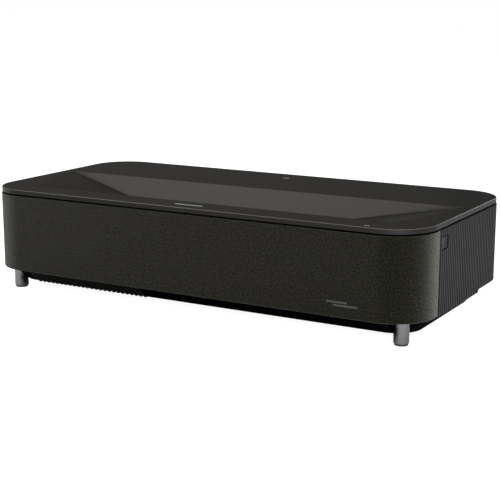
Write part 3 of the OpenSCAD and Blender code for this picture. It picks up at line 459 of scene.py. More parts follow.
def grid_solid(columns, rows, solid, place):
    """Closed solid made of the cells (i, k) that are solid. Returns (vertices, faces).

    place(i, k, inner) gives the point on the outer or inner skin."""
    index, verts, faces = {}, [], []

    def full(i, k):
        return 0 <= i < columns and 0 <= k < rows and solid(i, k)

    def quad(*corners):
        for corner in corners:
            if corner not in index:
                index[corner] = len(verts)
                verts.append(place(*corner))
        faces.append(tuple(index[corner] for corner in corners))

    for i in range(columns):
        for k in range(rows):
            if not full(i, k):
                continue
            for skin in (False, True):
                quad((i, k, skin), (i + 1, k, skin), (i + 1, k + 1, skin), (i, k + 1, skin))
            for step, at in ((-1, i), (1, i + 1)):
                if not full(i + step, k):
                    quad((at, k, False), (at, k, True), (at, k + 1, True), (at, k + 1, False))
            for step, at in ((-1, k), (1, k + 1)):
                if not full(i, k + step):
                    quad((i, at, False), (i + 1, at, False), (i + 1, at, True), (i, at, True))
    return verts, faces


def paint(made, name, value):
    """Stores value(point) at every vertex of a piece as a point attribute."""
    layer = made.data.attributes.new(name, "FLOAT", "POINT")
    for vertex in made.data.vertices:
        layer.data[vertex.index].value = value(vertex.co)


def soften(node, width):
    """Rounds the sharp edges of a CAD node that stays, by modifiers alone. Width in mm."""
    made = frame["nodes"][node]
    weld = made.modifiers.new("weld", "WELD")
    weld.merge_threshold = 10 * CLOSE
    flat = made.modifiers.new("flat", "DECIMATE")
    flat.decimate_type = "DISSOLVE"
    flat.angle_limit = math.radians(1)
    edge = made.modifiers.new("edge", "BEVEL")
    edge.width = width * MM
    edge.segments = 2
    edge.limit_method = "ANGLE"
    edge.angle_limit = math.radians(40)
    edge.harden_normals = True


def tablet(size, radius, profile, place):
    """Rounded rectangle built up through (inset, height) rings. place(u, v, height) gives the point."""
    rings = []
    for inset, height in profile:
        r = max(radius - inset, 0.05 * MM)
        loop = round_loop(size[0] / 2 - inset - r, size[1] / 2 - inset - r, r, 6)
        rings.append([place(u, v, height) for u, v in loop])
    return stitch(rings)


def lathe(profile, x, y, steps=72):
    """Rings of (radius, height) round a vertical axis at (x, y), closed at both ends."""
    rings = [[(px, py, z) for px, py in arc(x, y, r, 0, 360, steps)[:-1]] for r, z in profile]
    return stitch(rings)


# ---- Top cover ------------------------------------------------------------------------------

BLEND_DEPTH = 1.96 * MM
BLEND_STEPS = 8
BLEND_ROWS = 40
BLEND_SKEW = 1.61
BLEND_FROM = 0.03
BLEND_TO = 0.985


def blend_depth(y):
    """How far, in depth, the rounding between top face and side facet reaches at y."""
    share = (RECESS_REAR_Y - y) / (RECESS_REAR_Y - RECESS_FRONT_Y)
    return max(BLEND_DEPTH * math.sin(math.pi * share**BLEND_SKEW), CLOSE)


def facet_depth(x, y):
    """Depth of a side facet below the top face, with its rounded upper edge."""
    straight = (recess_edge(y) - abs(x)) / SIDE_SLOPE
    k = blend_depth(y)
    if straight <= -k:
        return 0.0
    if straight >= k:
        return straight
    return (straight + k) ** 2 / (4 * k)


def cover_depth(x, y):
    """Depth of the cover's upper surface below its top face."""
    if y <= RECESS_FRONT_Y or y >= RECESS_REAR_Y:
        return 0.0
    wall_foot = RECESS_FRONT_Y + WALL_DRAFT
    depth = min(facet_depth(x, max(y, wall_foot)), RECESS_DEPTH)
    return depth * min(1.0, (y - RECESS_FRONT_Y) / WALL_DRAFT)


def cover_domain():
    """Points and edges that the top surface must keep in plan, in mm, and the outline's point count."""
    points, edges = [], []

    def chain(line, closed=False):
        start = len(points)
        points.extend(Vector((x / MM, y / MM)) for x, y in line)
        last = len(points) - start
        edges.extend((start + i, start + i + 1) for i in range(last - 1))
        if closed:
            edges.append((start + last - 1, start))

    outline = plan_loop(COVER_INSET + RIM_ROUND)
    chain(outline, closed=True)
    window = (WINDOW_HALF, WINDOW_Y0, WINDOW_HALF, WINDOW_Y1)
    ramp = (RAMP_FOOT_HALF, RAMP_FOOT_Y, RECESS_REAR_HALF, RECESS_REAR_Y)
    for half0, y0, half1, y1 in (window, ramp):
        chain([(-half0, y0), (half0, y0), (half1, y1), (-half1, y1)], closed=True)
    wall_foot = RECESS_FRONT_Y + WALL_DRAFT
    floor_half = recess_edge(wall_foot) - SIDE_SLOPE * RECESS_DEPTH
    corner = (recess_edge(RECESS_FRONT_Y), RECESS_FRONT_Y)
    chain([(-corner[0], corner[1]), corner])
    foot_line = [(floor_half, wall_foot), (recess_edge(wall_foot), wall_foot), corner]
    chain([(-x, y) for x, y in reversed(foot_line)] + foot_line)
    rows = []
    for i in range(BLEND_ROWS + 1):
        share = BLEND_FROM + (BLEND_TO - BLEND_FROM) * i / BLEND_ROWS
        y = RECESS_REAR_Y - share * (RECESS_REAR_Y - RECESS_FRONT_Y)
        reach = blend_depth(y) * SIDE_SLOPE
        rows.append([(recess_edge(y) + reach * (1 - 2 * j / BLEND_STEPS), y) for j in range(BLEND_STEPS + 1)])
    for side in (-1, 1):
        chain([(side * floor_half, wall_foot), (side * RAMP_FOOT_HALF, RAMP_FOOT_Y)])
        for row in rows:
            chain([(side * x, y) for x, y in row])
        for column in zip(*rows):
            chain([(side * x, y) for x, y in column])
    return points, edges, len(outline)


RIM_ROUND = 0.9 * MM
RIM_STEPS = 5
RIM_FOOT_ROUND = 0.4 * MM
RIM_FOOT_Z = RIM_Z + 0.1 * MM
UNDER_INSET = CASE_INSET + 3 * MM
JOIN = 1e-4


def outside_rim_highlight(point):
    """0 on the rounded edge of the rim, where a highlight is painted into the cover's colour, 1 on the plate
    and the rim's side.
    """
    x = max(abs(point.x) - HALF_W + CORNER_R, 0)
    y = max(abs(point.y) - HALF_D + CORNER_R, 0)
    inset = CORNER_R - math.hypot(x, y)
    in_turn = COVER_INSET + 0.05 * MM < inset < COVER_INSET + RIM_ROUND - 0.05 * MM
    return 0.0 if in_turn and TOP_Z - RIM_ROUND < point.z < TOP_Z - 0.02 * MM else 1.0


def build_cover():
    """Top cover as one closed shell: plate with its recess, rounded rim and the underside."""
    points, edges, outline_count = cover_domain()
    flat, _, triangles, sources, _, _ = delaunay_2d_cdt(points, edges, [], 1, JOIN)
    place = {source: i for i, found in enumerate(sources) for source in found}
    flat = [(p.x * MM, p.y * MM) for p in flat]

    def kept(triangle):
        x = sum(flat[i][0] for i in triangle) / 3
        y = sum(flat[i][1] for i in triangle) / 3
        in_window = abs(x) < WINDOW_HALF and WINDOW_Y0 < y < WINDOW_Y1
        share = (y - RAMP_FOOT_Y) / (RECESS_REAR_Y - RAMP_FOOT_Y)
        in_ramp = 0 < share < 1 and abs(x) < RAMP_FOOT_HALF + share * (RECESS_REAR_HALF - RAMP_FOOT_HALF)
        return not in_window and not in_ramp

    triangles = [tuple(t) for t in triangles if kept(t)]
    verts = [(x, y, TOP_Z - cover_depth(x, y)) for x, y in flat]
    outline = [place[i] for i in range(outline_count)]
    inner = dict(zip(outline, plan_loop(UNDER_INSET)))
    under = len(verts)
    for i, (x, y) in enumerate(flat):
        z = TOP_Z - cover_depth(x, y) - SKIN_T
        if i in inner:
            x, y = inner[i]
        elif RECESS_FRONT_Y - CLOSE <= y <= RECESS_FRONT_Y + WALL_DRAFT + CLOSE:
            y -= WALL_T
        verts.append((x, y, z))
    faces = triangles + [tuple(under + i for i in reversed(t)) for t in triangles]

    # Side walls of the holes
    uses = {}
    for t in triangles:
        for a, b in ((t[0], t[1]), (t[1], t[2]), (t[2], t[0])):
            uses.setdefault(frozenset((a, b)), []).append((a, b))
    rim_edges = {frozenset((a, b)) for a, b in zip(outline, outline[1:] + outline[:1])}
    for key, found in uses.items():
        if len(found) == 1 and key not in rim_edges:
            a, b = found[0]
            faces.append((b, a, under + a, under + b))

    # Rounded rim from the top face down to its foot and in under the plate
    rings = [(COVER_INSET + RIM_ROUND * (1 - math.sin(t)), TOP_Z - RIM_ROUND * (1 - math.cos(t)))
        for t in (math.pi / 2 * i / RIM_STEPS for i in range(1, RIM_STEPS + 1))]
    rings += [(COVER_INSET, RIM_FOOT_Z + RIM_FOOT_ROUND),
        (COVER_INSET + 0.3 * RIM_FOOT_ROUND, RIM_FOOT_Z + 0.3 * RIM_FOOT_ROUND),
        (COVER_INSET + RIM_FOOT_ROUND, RIM_FOOT_Z), (UNDER_INSET, RIM_FOOT_Z)]
    loops = [outline]
    for inset, z in rings:
        start = len(verts)
        verts.extend((x, y, z) for x, y in plan_loop(inset))
        loops.append(list(range(start, start + outline_count)))
    loops.append([under + i for i in outline])
    for last, ring in zip(loops, loops[1:]):
        for i in range(outline_count):
            j = (i + 1) % outline_count
            faces.append((last[i], last[j], ring[j], ring[i]))
    made = piece("cover_shell", verts, faces, "cabinet", "cover_satin", ["top_cover"], 5, RIM_HIGHLIGHT_SATIN)
    # Marks the rim's rounded edge for its painted highlight.
    paint(made, "flat", outside_rim_highlight)


build_cover()

# ---- Fabric front ---------------------------------------------------------------------------

GAP_EXTRA = 0.8 * MM
CLOTH_PROUD = 0.2 * MM
CLOTH_ROUND = 1.3 * MM
CLOTH_T = 0.8 * MM
CLOTH_WRAP = 3.8 * MM
END_ROUND = 1.6 * MM


def front_stations():
    """Stations along the skin from the right seam round the front: (point, inward normal, length so far)."""
    corner_steps, front_steps = 30, 46
    x, y = HALF_W - CORNER_R, HALF_D - CORNER_R
    ends = (0, 0.25 * END_ROUND, 0.6 * END_ROUND, END_ROUND, 5 * MM)
    line = [((HALF_W, SEAM_Y - t), (-1, 0)) for t in ends]
    for i in range(corner_steps + 1):
        a = math.radians(-90 * i / corner_steps)
        line.append(((x + CORNER_R * math.cos(a), -y + CORNER_R * math.sin(a)), (-math.cos(a), -math.sin(a))))
    mirrored = [((-p[0], p[1]), (-n[0], n[1])) for p, n in line]
    for i in range(1, front_steps):
        line.append(((x - 2 * x * i / front_steps, -HALF_D), (0, 1)))
    line += reversed(mirrored)
    total, found = 0.0, []
    for i, (p, n) in enumerate(line):
        if i:
            total += math.dist(p, line[i - 1][0])
        found.append((p, n, total))
    return found


def cloth_profile():
    """Cross-section of the cloth over its frame, as (inset, height): the outer and the inner points."""
    z0, z1, r = SKIRT_Z + 0.1 * MM, SKIN_TOP - GAP_EXTRA, CLOTH_ROUND
    near = CLOTH_PROUD + r
    outer = [(CLOTH_WRAP, z0)] + [(near - x, z0 + r - y) for x, y in arc(0, 0, r, 90, 0, 6)]
    outer += [(CLOTH_PROUD, z0 + (z1 - z0) * i / 8) for i in range(1, 8)]
    outer += [(near - x, z1 - r + y) for x, y in arc(0, 0, r, 0, 90, 6)] + [(CLOTH_WRAP, z1)]
    ri = r - CLOTH_T
    inner = [(CLOTH_WRAP, z1 - CLOTH_T)] + [(near - x, z1 - r + y) for x, y in arc(0, 0, ri, 90, 0, 4)]
    inner += [(near - x, z0 + r - y) for x, y in arc(0, 0, ri, 0, 90, 4)] + [(CLOTH_WRAP, z0 + CLOTH_T)]
    return outer, inner


def build_cloth():
    """The stretched cloth, with its UV map in metres."""
    outer, inner = cloth_profile()
    profile = outer + inner
    stations = front_stations()
    total = stations[-1][2]
    rings = []
    for (px, py), (nx, ny), s in stations:
        end = min(s, total - s)
        tuck = 0.0 if end >= END_ROUND else END_ROUND - math.sqrt(END_ROUND**2 - (END_ROUND - end) ** 2)
        ring = []
        for k, (inset, z) in enumerate(profile):
            seen = k < len(outer) and inset < CLOTH_WRAP - 0.1 * MM
            move = min(inset + (tuck if seen else 0), CLOTH_WRAP)
            ring.append((px + nx * move, py + ny * move, z))
        rings.append(ring)
    verts, faces = stitch(rings)
    made = piece("grille_skin", verts, faces, "grille", "grille_fabric", ["grille_cloth"], 60)
    # Marks the cloth's top rounding for its painted highlight.
    top = SKIN_TOP - GAP_EXTRA - 0.45 * CLOTH_ROUND
    paint(made, "edge", lambda p: 1.0 if p.z > top else 0.0)
    # Cloth coordinates: length along the front, and length up and round the profile
    x, y = HALF_W - CORNER_R, HALF_D - CORNER_R
    layer = made.data.uv_layers.new(name="cloth")
    quarter = CORNER_R * math.pi / 2
    for loop in made.data.loops:
        co = made.data.vertices[loop.vertex_index].co
        if co.y > -y:
            along = co.y + y
            u = -x - quarter - along if co.x < 0 else x + quarter + along
        elif abs(co.x) > x:
            turn = math.atan2(abs(co.x) - x, -y - co.y) * CORNER_R
            u = math.copysign(x + turn, co.x)
        else:
            u = co.x
        layer.data[loop.index].uv = (u, co.z)


build_cloth()

# ---- Side louvres ---------------------------------------------------------------------------

RIB_PITCH = 6.8 * MM
RIB_H = 2.2 * MM
LOUVRE_BACK = 4.7 * MM
FIRST_RIB = 4.7 * MM
SEAM_GAP = 1.3 * MM
TOOTH = 1.3 * MM
SLOT_HALF = 0.65 * MM
SLOT_Z = (46 * MM, 134 * MM)
LAST_MARGIN = 3 * MM
END_LIP = 0.25 * MM
EDGE_ROW = 0.5 * MM
EDGE_DROP = 0.4 * MM
BUTTON_GAP = 0.8 * MM
LOUVRE_STEP_Y = 55 * MM
LOUVRE_STEP = 4.1 * MM
FIRST_SLOT = 6
# Half of a rib, as millimetres from its middle and above the face
RIB_PROFILE = [(-2.75, 0.0), (-2.35, 0.32), (-1.9, 1.35), (-1.55, 1.85), (-1.0, 2.13), (0.0, 2.2)]


def louvre_point(s, inset):
    """Plan point at length s along the right side's skin, behind the seam, moved inwards."""
    straight = HALF_D - CORNER_R - SEAM_Y - SEAM_GAP
    if s <= straight:
        return HALF_W - inset, SEAM_Y + SEAM_GAP + s
    a = (s - straight) / CORNER_R
    return (HALF_W - CORNER_R + (CORNER_R - inset) * math.cos(a),
        HALF_D - CORNER_R + (CORNER_R - inset) * math.sin(a))


def louvre_stations(button):
    """Stations along the louvre as (length, height of the ribbed face), and the slots as (start, end).

    Button holds the lengths that bound the button, or nothing."""
    straight = HALF_D - CORNER_R - SEAM_Y - SEAM_GAP
    total = straight + CORNER_R * math.pi / 2
    count = int((total - FIRST_RIB - LAST_MARGIN) / RIB_PITCH) + 1
    half = [(dx * MM, h * MM) for dx, h in RIB_PROFILE]
    whole = half + [(-dx, h) for dx, h in reversed(half[:-1])]
    found = {0.0: 0.0, END_LIP: 0.0, total - END_LIP: 0.0, total: 0.0}
    for i in range(count):
        for dx, h in whole:
            found[FIRST_RIB + i * RIB_PITCH + dx] = h
    slots = []
    straight_ribs = int((straight - FIRST_RIB) / RIB_PITCH) + 1
    for i in range(FIRST_SLOT, straight_ribs - 1):
        centre = FIRST_RIB + (i + 0.5) * RIB_PITCH
        slots.append((centre - SLOT_HALF, centre + SLOT_HALF))
    cuts = [edge for slot in slots for edge in slot] + list(button)
    known = sorted(found)
    for cut in cuts:
        later = next(i for i, s in enumerate(known) if s > cut)
        a, b = known[later - 1], known[later]
        share = (cut - a) / (b - a)
        found[cut] = found[a] + share * (found[b] - found[a])
        known = sorted(found)
    return [(s, found[s]) for s in known], slots


def build_louvre(side):
    """Ribbed louvre with its cooling slots and, on the right, the opening for the button."""
    button_y = (BUTTON_LOW.y - BUTTON_GAP, BUTTON_HIGH.y + BUTTON_GAP)
    button_z = (BUTTON_LOW.z - BUTTON_GAP, BUTTON_HIGH.z + BUTTON_GAP)
    button = [y - SEAM_Y - SEAM_GAP for y in button_y] if side > 0 else []
    stations, slots = louvre_stations(button)
    raised = LOUVRE_FOOT + LOUVRE_STEP
    raised_s = LOUVRE_STEP_Y - SEAM_Y - SEAM_GAP
    top = SKIN_TOP - GAP_EXTRA
    levels = [LOUVRE_FOOT, LOUVRE_FOOT + EDGE_ROW, raised, raised + EDGE_ROW, top - EDGE_ROW, top, *SLOT_Z]
    levels = sorted(levels + (list(button_z) if button else []))

    def solid(i, k):
        s = (stations[i][0] + stations[i + 1][0]) / 2
        z = (levels[k] + levels[k + 1]) / 2
        if s > raised_s and z < raised:
            return False
        if button and button[0] < s < button[1] and button_z[0] < z < button_z[1]:
            return False
        return not (SLOT_Z[0] < z < SLOT_Z[1] and any(a < s < b for a, b in slots))

    def place(i, k, inner):
        s, h = stations[i]
        inset = LOUVRE_BACK if inner else RIB_H - h
        edge = levels[k] in (levels[0], levels[-1]) or (levels[k] == raised and s > raised_s)
        if not inner and (edge or i in (0, len(stations) - 1)):
            inset += EDGE_DROP
        z = levels[k]
        if k <= 1:
            z += TOOTH if inner else TOOTH * (1 - h / RIB_H)
        x, y = louvre_point(s, inset)
        return side * x, y, z

    def crest(point):
        x, y = abs(point.x), point.y
        straight = y <= HALF_D - CORNER_R
        r = CORNER_R - HALF_W + x if straight else math.dist((x, y), (HALF_W - CORNER_R, HALF_D - CORNER_R))
        return min(max(1 - (CORNER_R - r) / RIB_H, 0), 1)

    verts, faces = grid_solid(len(stations) - 1, len(levels) - 1, solid, place)
    name = "right" if side > 0 else "left"
    made = piece(name + "_ribs", verts, faces, "cabinet", "louvre_grey", [name + "_louvre"], 42, RIBBED_GREY)
    # Marks the rib crests; the grooves between them get painted shade.
    paint(made, "crest", crest)


build_louvre(1)
build_louvre(-1)

# ---- Small parts of the front, the top and the right side -----------------------------------

# Rings of the button as (inset, depth below its face), in mm
BUTTON_DISH = [(0.5, 0.7), (0.6, 0.3), (0.9, 0.05), (1.3, 0), (3.0, 0.15), (5.5, 0.35), (8.2, 0.42),
    (8.4, 0.75), (9.0, 0.75)]
BUTTON_RECESS = 0.3 * MM
BUTTON_CORNER = 2.2 * MM


def build_button():
    """Dished power button with a rounded edge and a shallow mark in its middle."""
    centre, size = (BUTTON_LOW + BUTTON_HIGH) / 2, BUTTON_HIGH - BUTTON_LOW
    deep = size.x - BUTTON_RECESS

    def place(u, v, height):
        return BUTTON_LOW.x + height, centre.y + u, centre.z + v

    profile = [(0.5 * MM, 0.0)] + [(inset * MM, deep - drop * MM) for inset, drop in BUTTON_DISH]
    verts, faces = tablet((size.y, size.z), BUTTON_CORNER, profile, place)
    piece("button_cap", verts, faces, "power_button", "louvre_grey", ["power_button"], 50)


# Each strip of the badge as its reach across and up from the middle of the badge, in mm
BADGE_ROWS = (((-22.2, 8.5), (0.2, 4.0)), ((-12.5, 22.8), (-4.0, -0.1)))


BADGE_CORNER = 0.6 * MM
BADGE_RIM = 0.75 * MM
BADGE_PROUD = 0.1 * MM


def build_badge():
    """Blank badge on the fabric: two strips, one below the other, each a raised pale bar inside a lower
    border that is painted dark as the bar's shadow.
    """
    low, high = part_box("badge_plate")
    centre = (low + high) / 2
    back_y = high.y + BADGE_PROUD
    deep = back_y - low.y
    profile = [(0.0, 0.0), (0.0, deep - 0.3 * MM), (0.15 * MM, deep - 0.15 * MM),
        (BADGE_RIM - 0.25 * MM, deep - 0.2 * MM), (BADGE_RIM, deep), (BADGE_RIM + 0.3 * MM, deep)]
    verts, faces = [], []
    for across, up in BADGE_ROWS:
        x, z = centre.x + sum(across) / 2 * MM, centre.z + sum(up) / 2 * MM

        def place(u, v, height):
            return x + u, back_y - height, z + v

        strip = ((across[1] - across[0]) * MM, (up[1] - up[0]) * MM)
        strip_verts, strip_faces = tablet(strip, BADGE_CORNER, profile, place)
        faces += [tuple(i + len(verts) for i in face) for face in strip_faces]
        verts += strip_verts
    made = piece("badge_blank", verts, faces, "grille", "inlay_metal", ["badge_plate"], 50, BADGE_GREY)
    # Marks the raised bars; the borders round them get painted shadow.
    front_y = back_y - deep + 0.05 * MM
    paint(made, "raised", lambda p: 1.0 if p.y < front_y else 0.0)


MARK_PROUD = 0.06 * MM
MARK_EDGE = 0.05 * MM


def build_top_mark(name, node, slot):
    """Insert that stands just clear of the plate, with a softened edge."""
    low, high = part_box(node)
    centre, size = (low + high) / 2, high - low

    def place(u, v, height):
        return centre.x + u, centre.y + v, low.z + height

    deep = TOP_Z + MARK_PROUD - low.z
    profile = [(0.0, 0.0), (0.0, deep - MARK_EDGE), (MARK_EDGE, deep), (10 * MARK_EDGE, deep)]
    verts, faces = tablet((size.x, size.y), min(size.x, size.y) * 0.49, profile, place)
    piece(name, verts, faces, "cabinet", slot, [node], 50)


build_button()
build_badge()
build_top_mark("name_bar", "name_inlay", "inlay_metal")
build_top_mark("status_light", "status_lens", "lens_clear")
build_top_mark("sensor_cover", "sensor_window", "lens_clear")

# ---- Air intake -----------------------------------------------------------------------------

BEVEL_Y = -HALF_D + 36 * MM
BEVEL_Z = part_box("lower_case")[0].z
BEVEL_RUN = 27 * MM
INTAKE_PITCH = 8 * MM
INTAKE_RIBS = 24
INTAKE_PLATE = (-2.6 * MM, -0.9 * MM)
INTAKE_PROUD = 1.4 * MM
INTAKE_X0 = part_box("intake_cover")[0].x + 0.6 * MM
INTAKE_FLOOR = 0.2 * MM
INTAKE_CREST = 1.6 * MM
# Half of a rib, as millimetres from its side and the share of its height
INTAKE_RIB = [(0.0, 0.0), (0.15, 0.55), (0.55, 0.85), (1.1, 1.0), (2.0, 1.0)]
INTAKE_RIB_W = 4
# A slot's sides from the rib before it, and its ends up the bevel, in mm
INTAKE_SLOT = (4.4, 7.6)
INTAKE_SLOT_ENDS = (5, 29)


def build_intake():
    """Ribbed intake cover on the front bevel: the ribs run down over the bevel's lower edge."""
    b = math.atan2(SKIRT_Z - BEVEL_Z, BEVEL_RUN)
    up = (-math.cos(b), math.sin(b))
    out = (-math.sin(b), -math.cos(b))
    last = INTAKE_RIBS * INTAKE_PITCH

    # Rows down the bevel and round its lower edge: (y, z, outward normal, inner offset, height share, on the
    # plate, millimetres up the bevel)
    rows = []
    for v, share in ((32, 0.35), (31.4, 0.8), (30, 1), (29, 1), (23, 1), (17, 1), (11, 1), (5, 1), (1.65, 1),
            (1.5, 1), (0.6, 1), (0, 1)):
        back, on_plate = (INTAKE_PLATE[0], True) if v > 1.5 else (0.15 * MM, False)
        rows.append((BEVEL_Y + up[0] * v * MM, BEVEL_Z + up[1] * v * MM, out, back, share, on_plate, v))
    for t in (0.35, 0.7, 1):
        a = math.pi / 2 - b + b * t
        rows.append((BEVEL_Y, BEVEL_Z, (-math.cos(a), -math.sin(a)), 0.15 * MM, 1, False, 0))
    for v, share in ((1.5, 1), (3.0, 0.8), (3.6, 0.3)):
        rows.append((BEVEL_Y + v * MM, BEVEL_Z, (0, -1), 0.15 * MM, share, False, -v))

    # Stations across: (length, height, on a rib)
    stations = [(-0.6 * MM, 0.0, False)]
    rib = INTAKE_RIB + [(INTAKE_RIB_W - dx, h) for dx, h in reversed(INTAKE_RIB[:-1])]
    for i in range(INTAKE_RIBS + 1):
        stations += [(i * INTAKE_PITCH + dx * MM, h, True) for dx, h in rib]
        if i < INTAKE_RIBS:
            stations += [(i * INTAKE_PITCH + dx * MM, 0.0, False) for dx in INTAKE_SLOT]
    stations.append((last + 4.6 * MM, 0.0, False))

    def solid(i, k):
        on_rib = stations[i][2] and stations[i + 1][2]
        if on_rib or not rows[k + 1][5]:
            return on_rib
        left = stations[i][0]
        in_slot = 0 < left < last and abs(left % INTAKE_PITCH - INTAKE_SLOT[0] * MM) < 0.05 * MM
        return not (in_slot and INTAKE_SLOT_ENDS[0] < (rows[k][6] + rows[k + 1][6]) / 2 < INTAKE_SLOT_ENDS[1])

    def place(i, k, inner):
        x, h, _ = stations[i]
        y, z, normal, back, share, on_plate, _ = rows[k]
        low = INTAKE_PLATE[1] if on_plate else INTAKE_FLOOR
        lift = back if inner else low + h * share * (INTAKE_PROUD - low)
        return INTAKE_X0 + x, y + normal[0] * lift, z + normal[1] * lift

    def crest(point):
        middle = INTAKE_X0 + INTAKE_RIB_W / 2 * MM
        off = (point.x - middle + INTAKE_PITCH / 2) % INTAKE_PITCH - INTAKE_PITCH / 2
        return 1.0 if abs(off) < INTAKE_CREST else 0.0

    verts, faces = grid_solid(len(stations) - 1, len(rows) - 1, solid, place)
    made = piece("intake_ribs", verts, faces, "intake_cover", "case_black", ["intake_cover"], 45,
        INTAKE_BLACK)
    # Marks the rib crests; the rest of the cover gets painted shade.
    paint(made, "crest", crest)


build_intake()

# ---- Feet -----------------------------------------------------------------------------------

FOOT_NECK_Z = 31.5 * MM
FOOT_ROUND = 0.9 * MM
NECK_BEVEL = 0.8 * MM
STUD_R = 4 * MM
STUD_TIP_R = 3.4 * MM
THREAD_ROOT_R = 3.6 * MM
THREAD_PITCH = 1 * MM


def build_foot(side):
    """Turned sleeve with a rounded foot, round a threaded stud."""
    name = "right" if side > 0 else "left"
    low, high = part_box(name + "_foot_leg")
    r = (high.x - low.x) / 2
    profile = [(STUD_R, low.z), (STUD_R, PAD_TOP), (r - 1.1 * MM, PAD_TOP)]
    profile += arc(r - FOOT_ROUND, PAD_TOP + FOOT_ROUND, FOOT_ROUND, -90, 0, 5)
    profile += [(r, FOOT_NECK_Z - NECK_BEVEL), (r - NECK_BEVEL, FOOT_NECK_Z), (STUD_R, FOOT_NECK_Z)]
    thread_z = FOOT_NECK_Z + THREAD_PITCH
    while thread_z < high.z - 1.5 * MM:
        profile += [(STUD_R, thread_z), (THREAD_ROOT_R, thread_z + THREAD_PITCH / 2)]
        thread_z += THREAD_PITCH
    profile += [(STUD_R, high.z - 0.6 * MM), (STUD_TIP_R, high.z)]
    verts, faces = lathe(profile, (low.x + high.x) / 2, (low.y + high.y) / 2)
    piece(name + "_foot_turned", verts, faces, name + "_foot", "foot_metal", [name + "_foot_leg"], 35)


build_foot(1)
build_foot(-1)

# ---- CAD nodes that stay ---------------------------------------------------------------------

for kept, rounding in (("rear_panel", 0.5), ("ramp_panel", 0.25), ("window_bezel", 0.25), ("rear_feet", 1.2),
    ("power_inlet", 0.4), ("lens_shutter", 0.25), ("left_foot_pad", 0.5), ("right_foot_pad", 0.5)):
    soften(kept, rounding)

for node_name, node in frame["nodes"].items():
    for held in node.material_slots:
        held.material = SLOTS[NODE_SLOTS[node_name]]
# The ramp wears its satin with painted shade along the slanted sides.
frame["nodes"]["ramp_panel"].material_slots[0].material = RAMP_SATIN_SHADED

# ---- Stage ----------------------------------------------------------------------------------

CAMERA_AT = (0.8869, -1.5229, 0.4505)
CAMERA_AZIMUTH = 29.864
CAMERA_ELEVATION = 12.354
LENS_MM = 87.43
SENSOR_MM = 36.0
AIM_Z = 0.08


def panel(name, azimuth, distance, height, size, radiance, colour=(1, 1, 1)):
    """Softbox of that radiance at an azimuth round the object, in degrees from +X, aimed at its middle."""
    light = bpy.data.lights.new(name, "AREA")
    light.shape = "RECTANGLE"
    light.size, light.size_y = size
    light.energy = radiance * math.pi * size[0] * size[1]
    light.color = colour
    made = bpy.data.objects.new(name, light)
    scene.collection.objects.link(made)
    turn = math.radians(azimuth)
    made.location = (distance * math.cos(turn), distance * math.sin(turn), height)
    made.rotation_euler = (Vector((0, 0, AIM_Z)) - made.location).to_track_quat("-Z", "Y").to_euler()
    made.visible_camera = False


def build_camera():
    camera = bpy.data.cameras.new("camera")
    camera.lens = LENS_MM
    camera.sensor_width = SENSOR_MM
    viewer = bpy.data.objects.new("camera", camera)
    scene.collection.objects.link(viewer)
    viewer.location = CAMERA_AT
    viewer.rotation_euler = (math.radians(90 - CAMERA_ELEVATION), 0, math.radians(CAMERA_AZIMUTH))
    scene.camera = viewer


def stage_object(name, mesh_data, material, camera_only):
    """Part of the set: seen by the camera alone, or by every ray but the camera's."""
    verts, faces = mesh_data
    mesh = bpy.data.meshes.new(name)
    mesh.from_pydata(verts, [], faces)
    mesh.materials.append(material)
    made = bpy.data.objects.new(name, mesh)
    scene.collection.objects.link(made)
    made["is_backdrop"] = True
    hidden = ("diffuse", "glossy", "transmission", "volume_scatter", "shadow") if camera_only else ("camera",)
    for ray in hidden:
        setattr(made, "visible_" + ray, False)


FLOOR_GLOW = 0.92
WORLD_STRENGTH = 1.0
SHADE_HALF = {"X": 0.275, "Y": 0.215}
TABLE_HALF = 8
DOME_R = 7


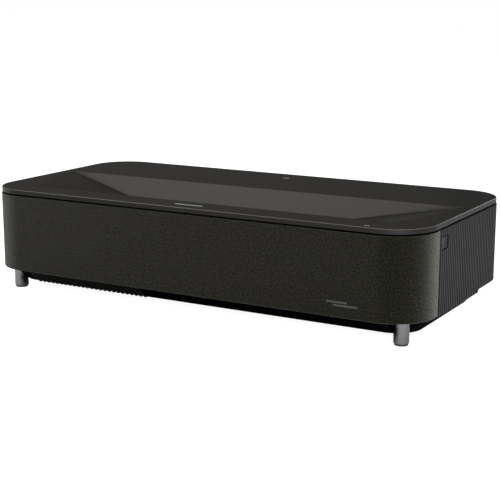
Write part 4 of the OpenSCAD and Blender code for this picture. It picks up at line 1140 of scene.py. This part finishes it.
def build_room():
    """Pale, softly glowing table, and a white dome that only the camera sees."""
    def slab(top):
        x = y = TABLE_HALF
        corners = ((-x, -y), (x, -y), (x, y), (-x, y))
        return stitch([[(*corner, z) for corner in corners] for z in (top - 0.01, top)])

    pale = grained("floor_pale", (0.3, 0.3, 0.3), 0.9, grain=2, depth=0.0, vary=0.01, Specular_IOR_Level=0.0,
        Emission_Strength=FLOOR_GLOW)
    pale.node_tree.nodes["Principled BSDF"].inputs["Emission Color"].default_value = opaque((1, 1, 1))
    stage_object("floor", slab(0.0), pale, True)
    # Table as reflections and bounced light see it: pale, and dark where the object keeps the light off
    matt = Shader("floor_matt", Roughness=0.9, Specular_IOR_Level=0.0)
    place = matt.node("SeparateXYZ", {"Vector": matt.position()}).outputs
    beside = [matt.math("SUBTRACT", matt.math("ABSOLUTE", place[axis]), half)
        for axis, half in SHADE_HALF.items()]
    outside = matt.math("MAXIMUM", *beside)
    away = matt.node("MapRange", {"Value": outside, "From Min": -0.02, "From Max": 0.03})
    grey = matt.blend(away.outputs["Result"], opaque((0.02, 0.02, 0.02)), opaque((0.9, 0.9, 0.9)))
    matt.join(matt.bsdf.inputs["Base Color"], grey)
    stage_object("floor_bounce", slab(-0.001), matt.material, False)

    white = bpy.data.materials.new("backdrop_white")
    white.use_nodes = True
    white.node_tree.nodes.clear()
    glow = white.node_tree.nodes.new("ShaderNodeEmission")
    out = white.node_tree.nodes.new("ShaderNodeOutputMaterial")
    white.node_tree.links.new(glow.outputs["Emission"], out.inputs["Surface"])
    rings = []
    for e in (math.radians(10 * k - 5) for k in range(10)):
        plan = arc(0, 0, DOME_R * math.cos(e), 0, 360, 48)[:-1]
        rings.append([(*point, DOME_R * math.sin(e)) for point in plan])
    stage_object("backdrop", stitch(rings), white, True)

    world = bpy.data.worlds.new("studio")
    world.use_nodes = True
    sky = world.node_tree.nodes["Background"]
    sky.inputs["Color"].default_value = (1, 1, 1, 1)
    sky.inputs["Strength"].default_value = WORLD_STRENGTH
    world.cycles_visibility.glossy = False
    scene.world = world
    scene.view_settings.view_transform = "Standard"


def build_lights():
    warm = (1, 0.975, 0.935)
    panel("overhead", 165, 0.9, 1.9, (2.0, 1.3), 1.05, colour=warm)
    panel("edge_strip", -160, 1.5, 1.7, (0.5, 0.9), 9.0, colour=warm)
    panel("rear_strip", 80, 2.2, 0.8, (1.0, 0.4), 4.2)
    panel("back_left", 128.5, 2.2, 0.75, (2.15, 1.4), 0.235, colour=warm)
    panel("left", -168, 1.5, 0.35, (0.7, 0.6), 1.6)
    panel("right", -48, 1.45, 0.45, (0.8, 0.7), 11.6)


build_camera()
build_room()
build_lights()

visual_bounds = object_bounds()
for corners in (cad_bounds, visual_bounds):
    json.dumps([[round(float(c), 6) for c in corner] for corner in corners]) + "\n"
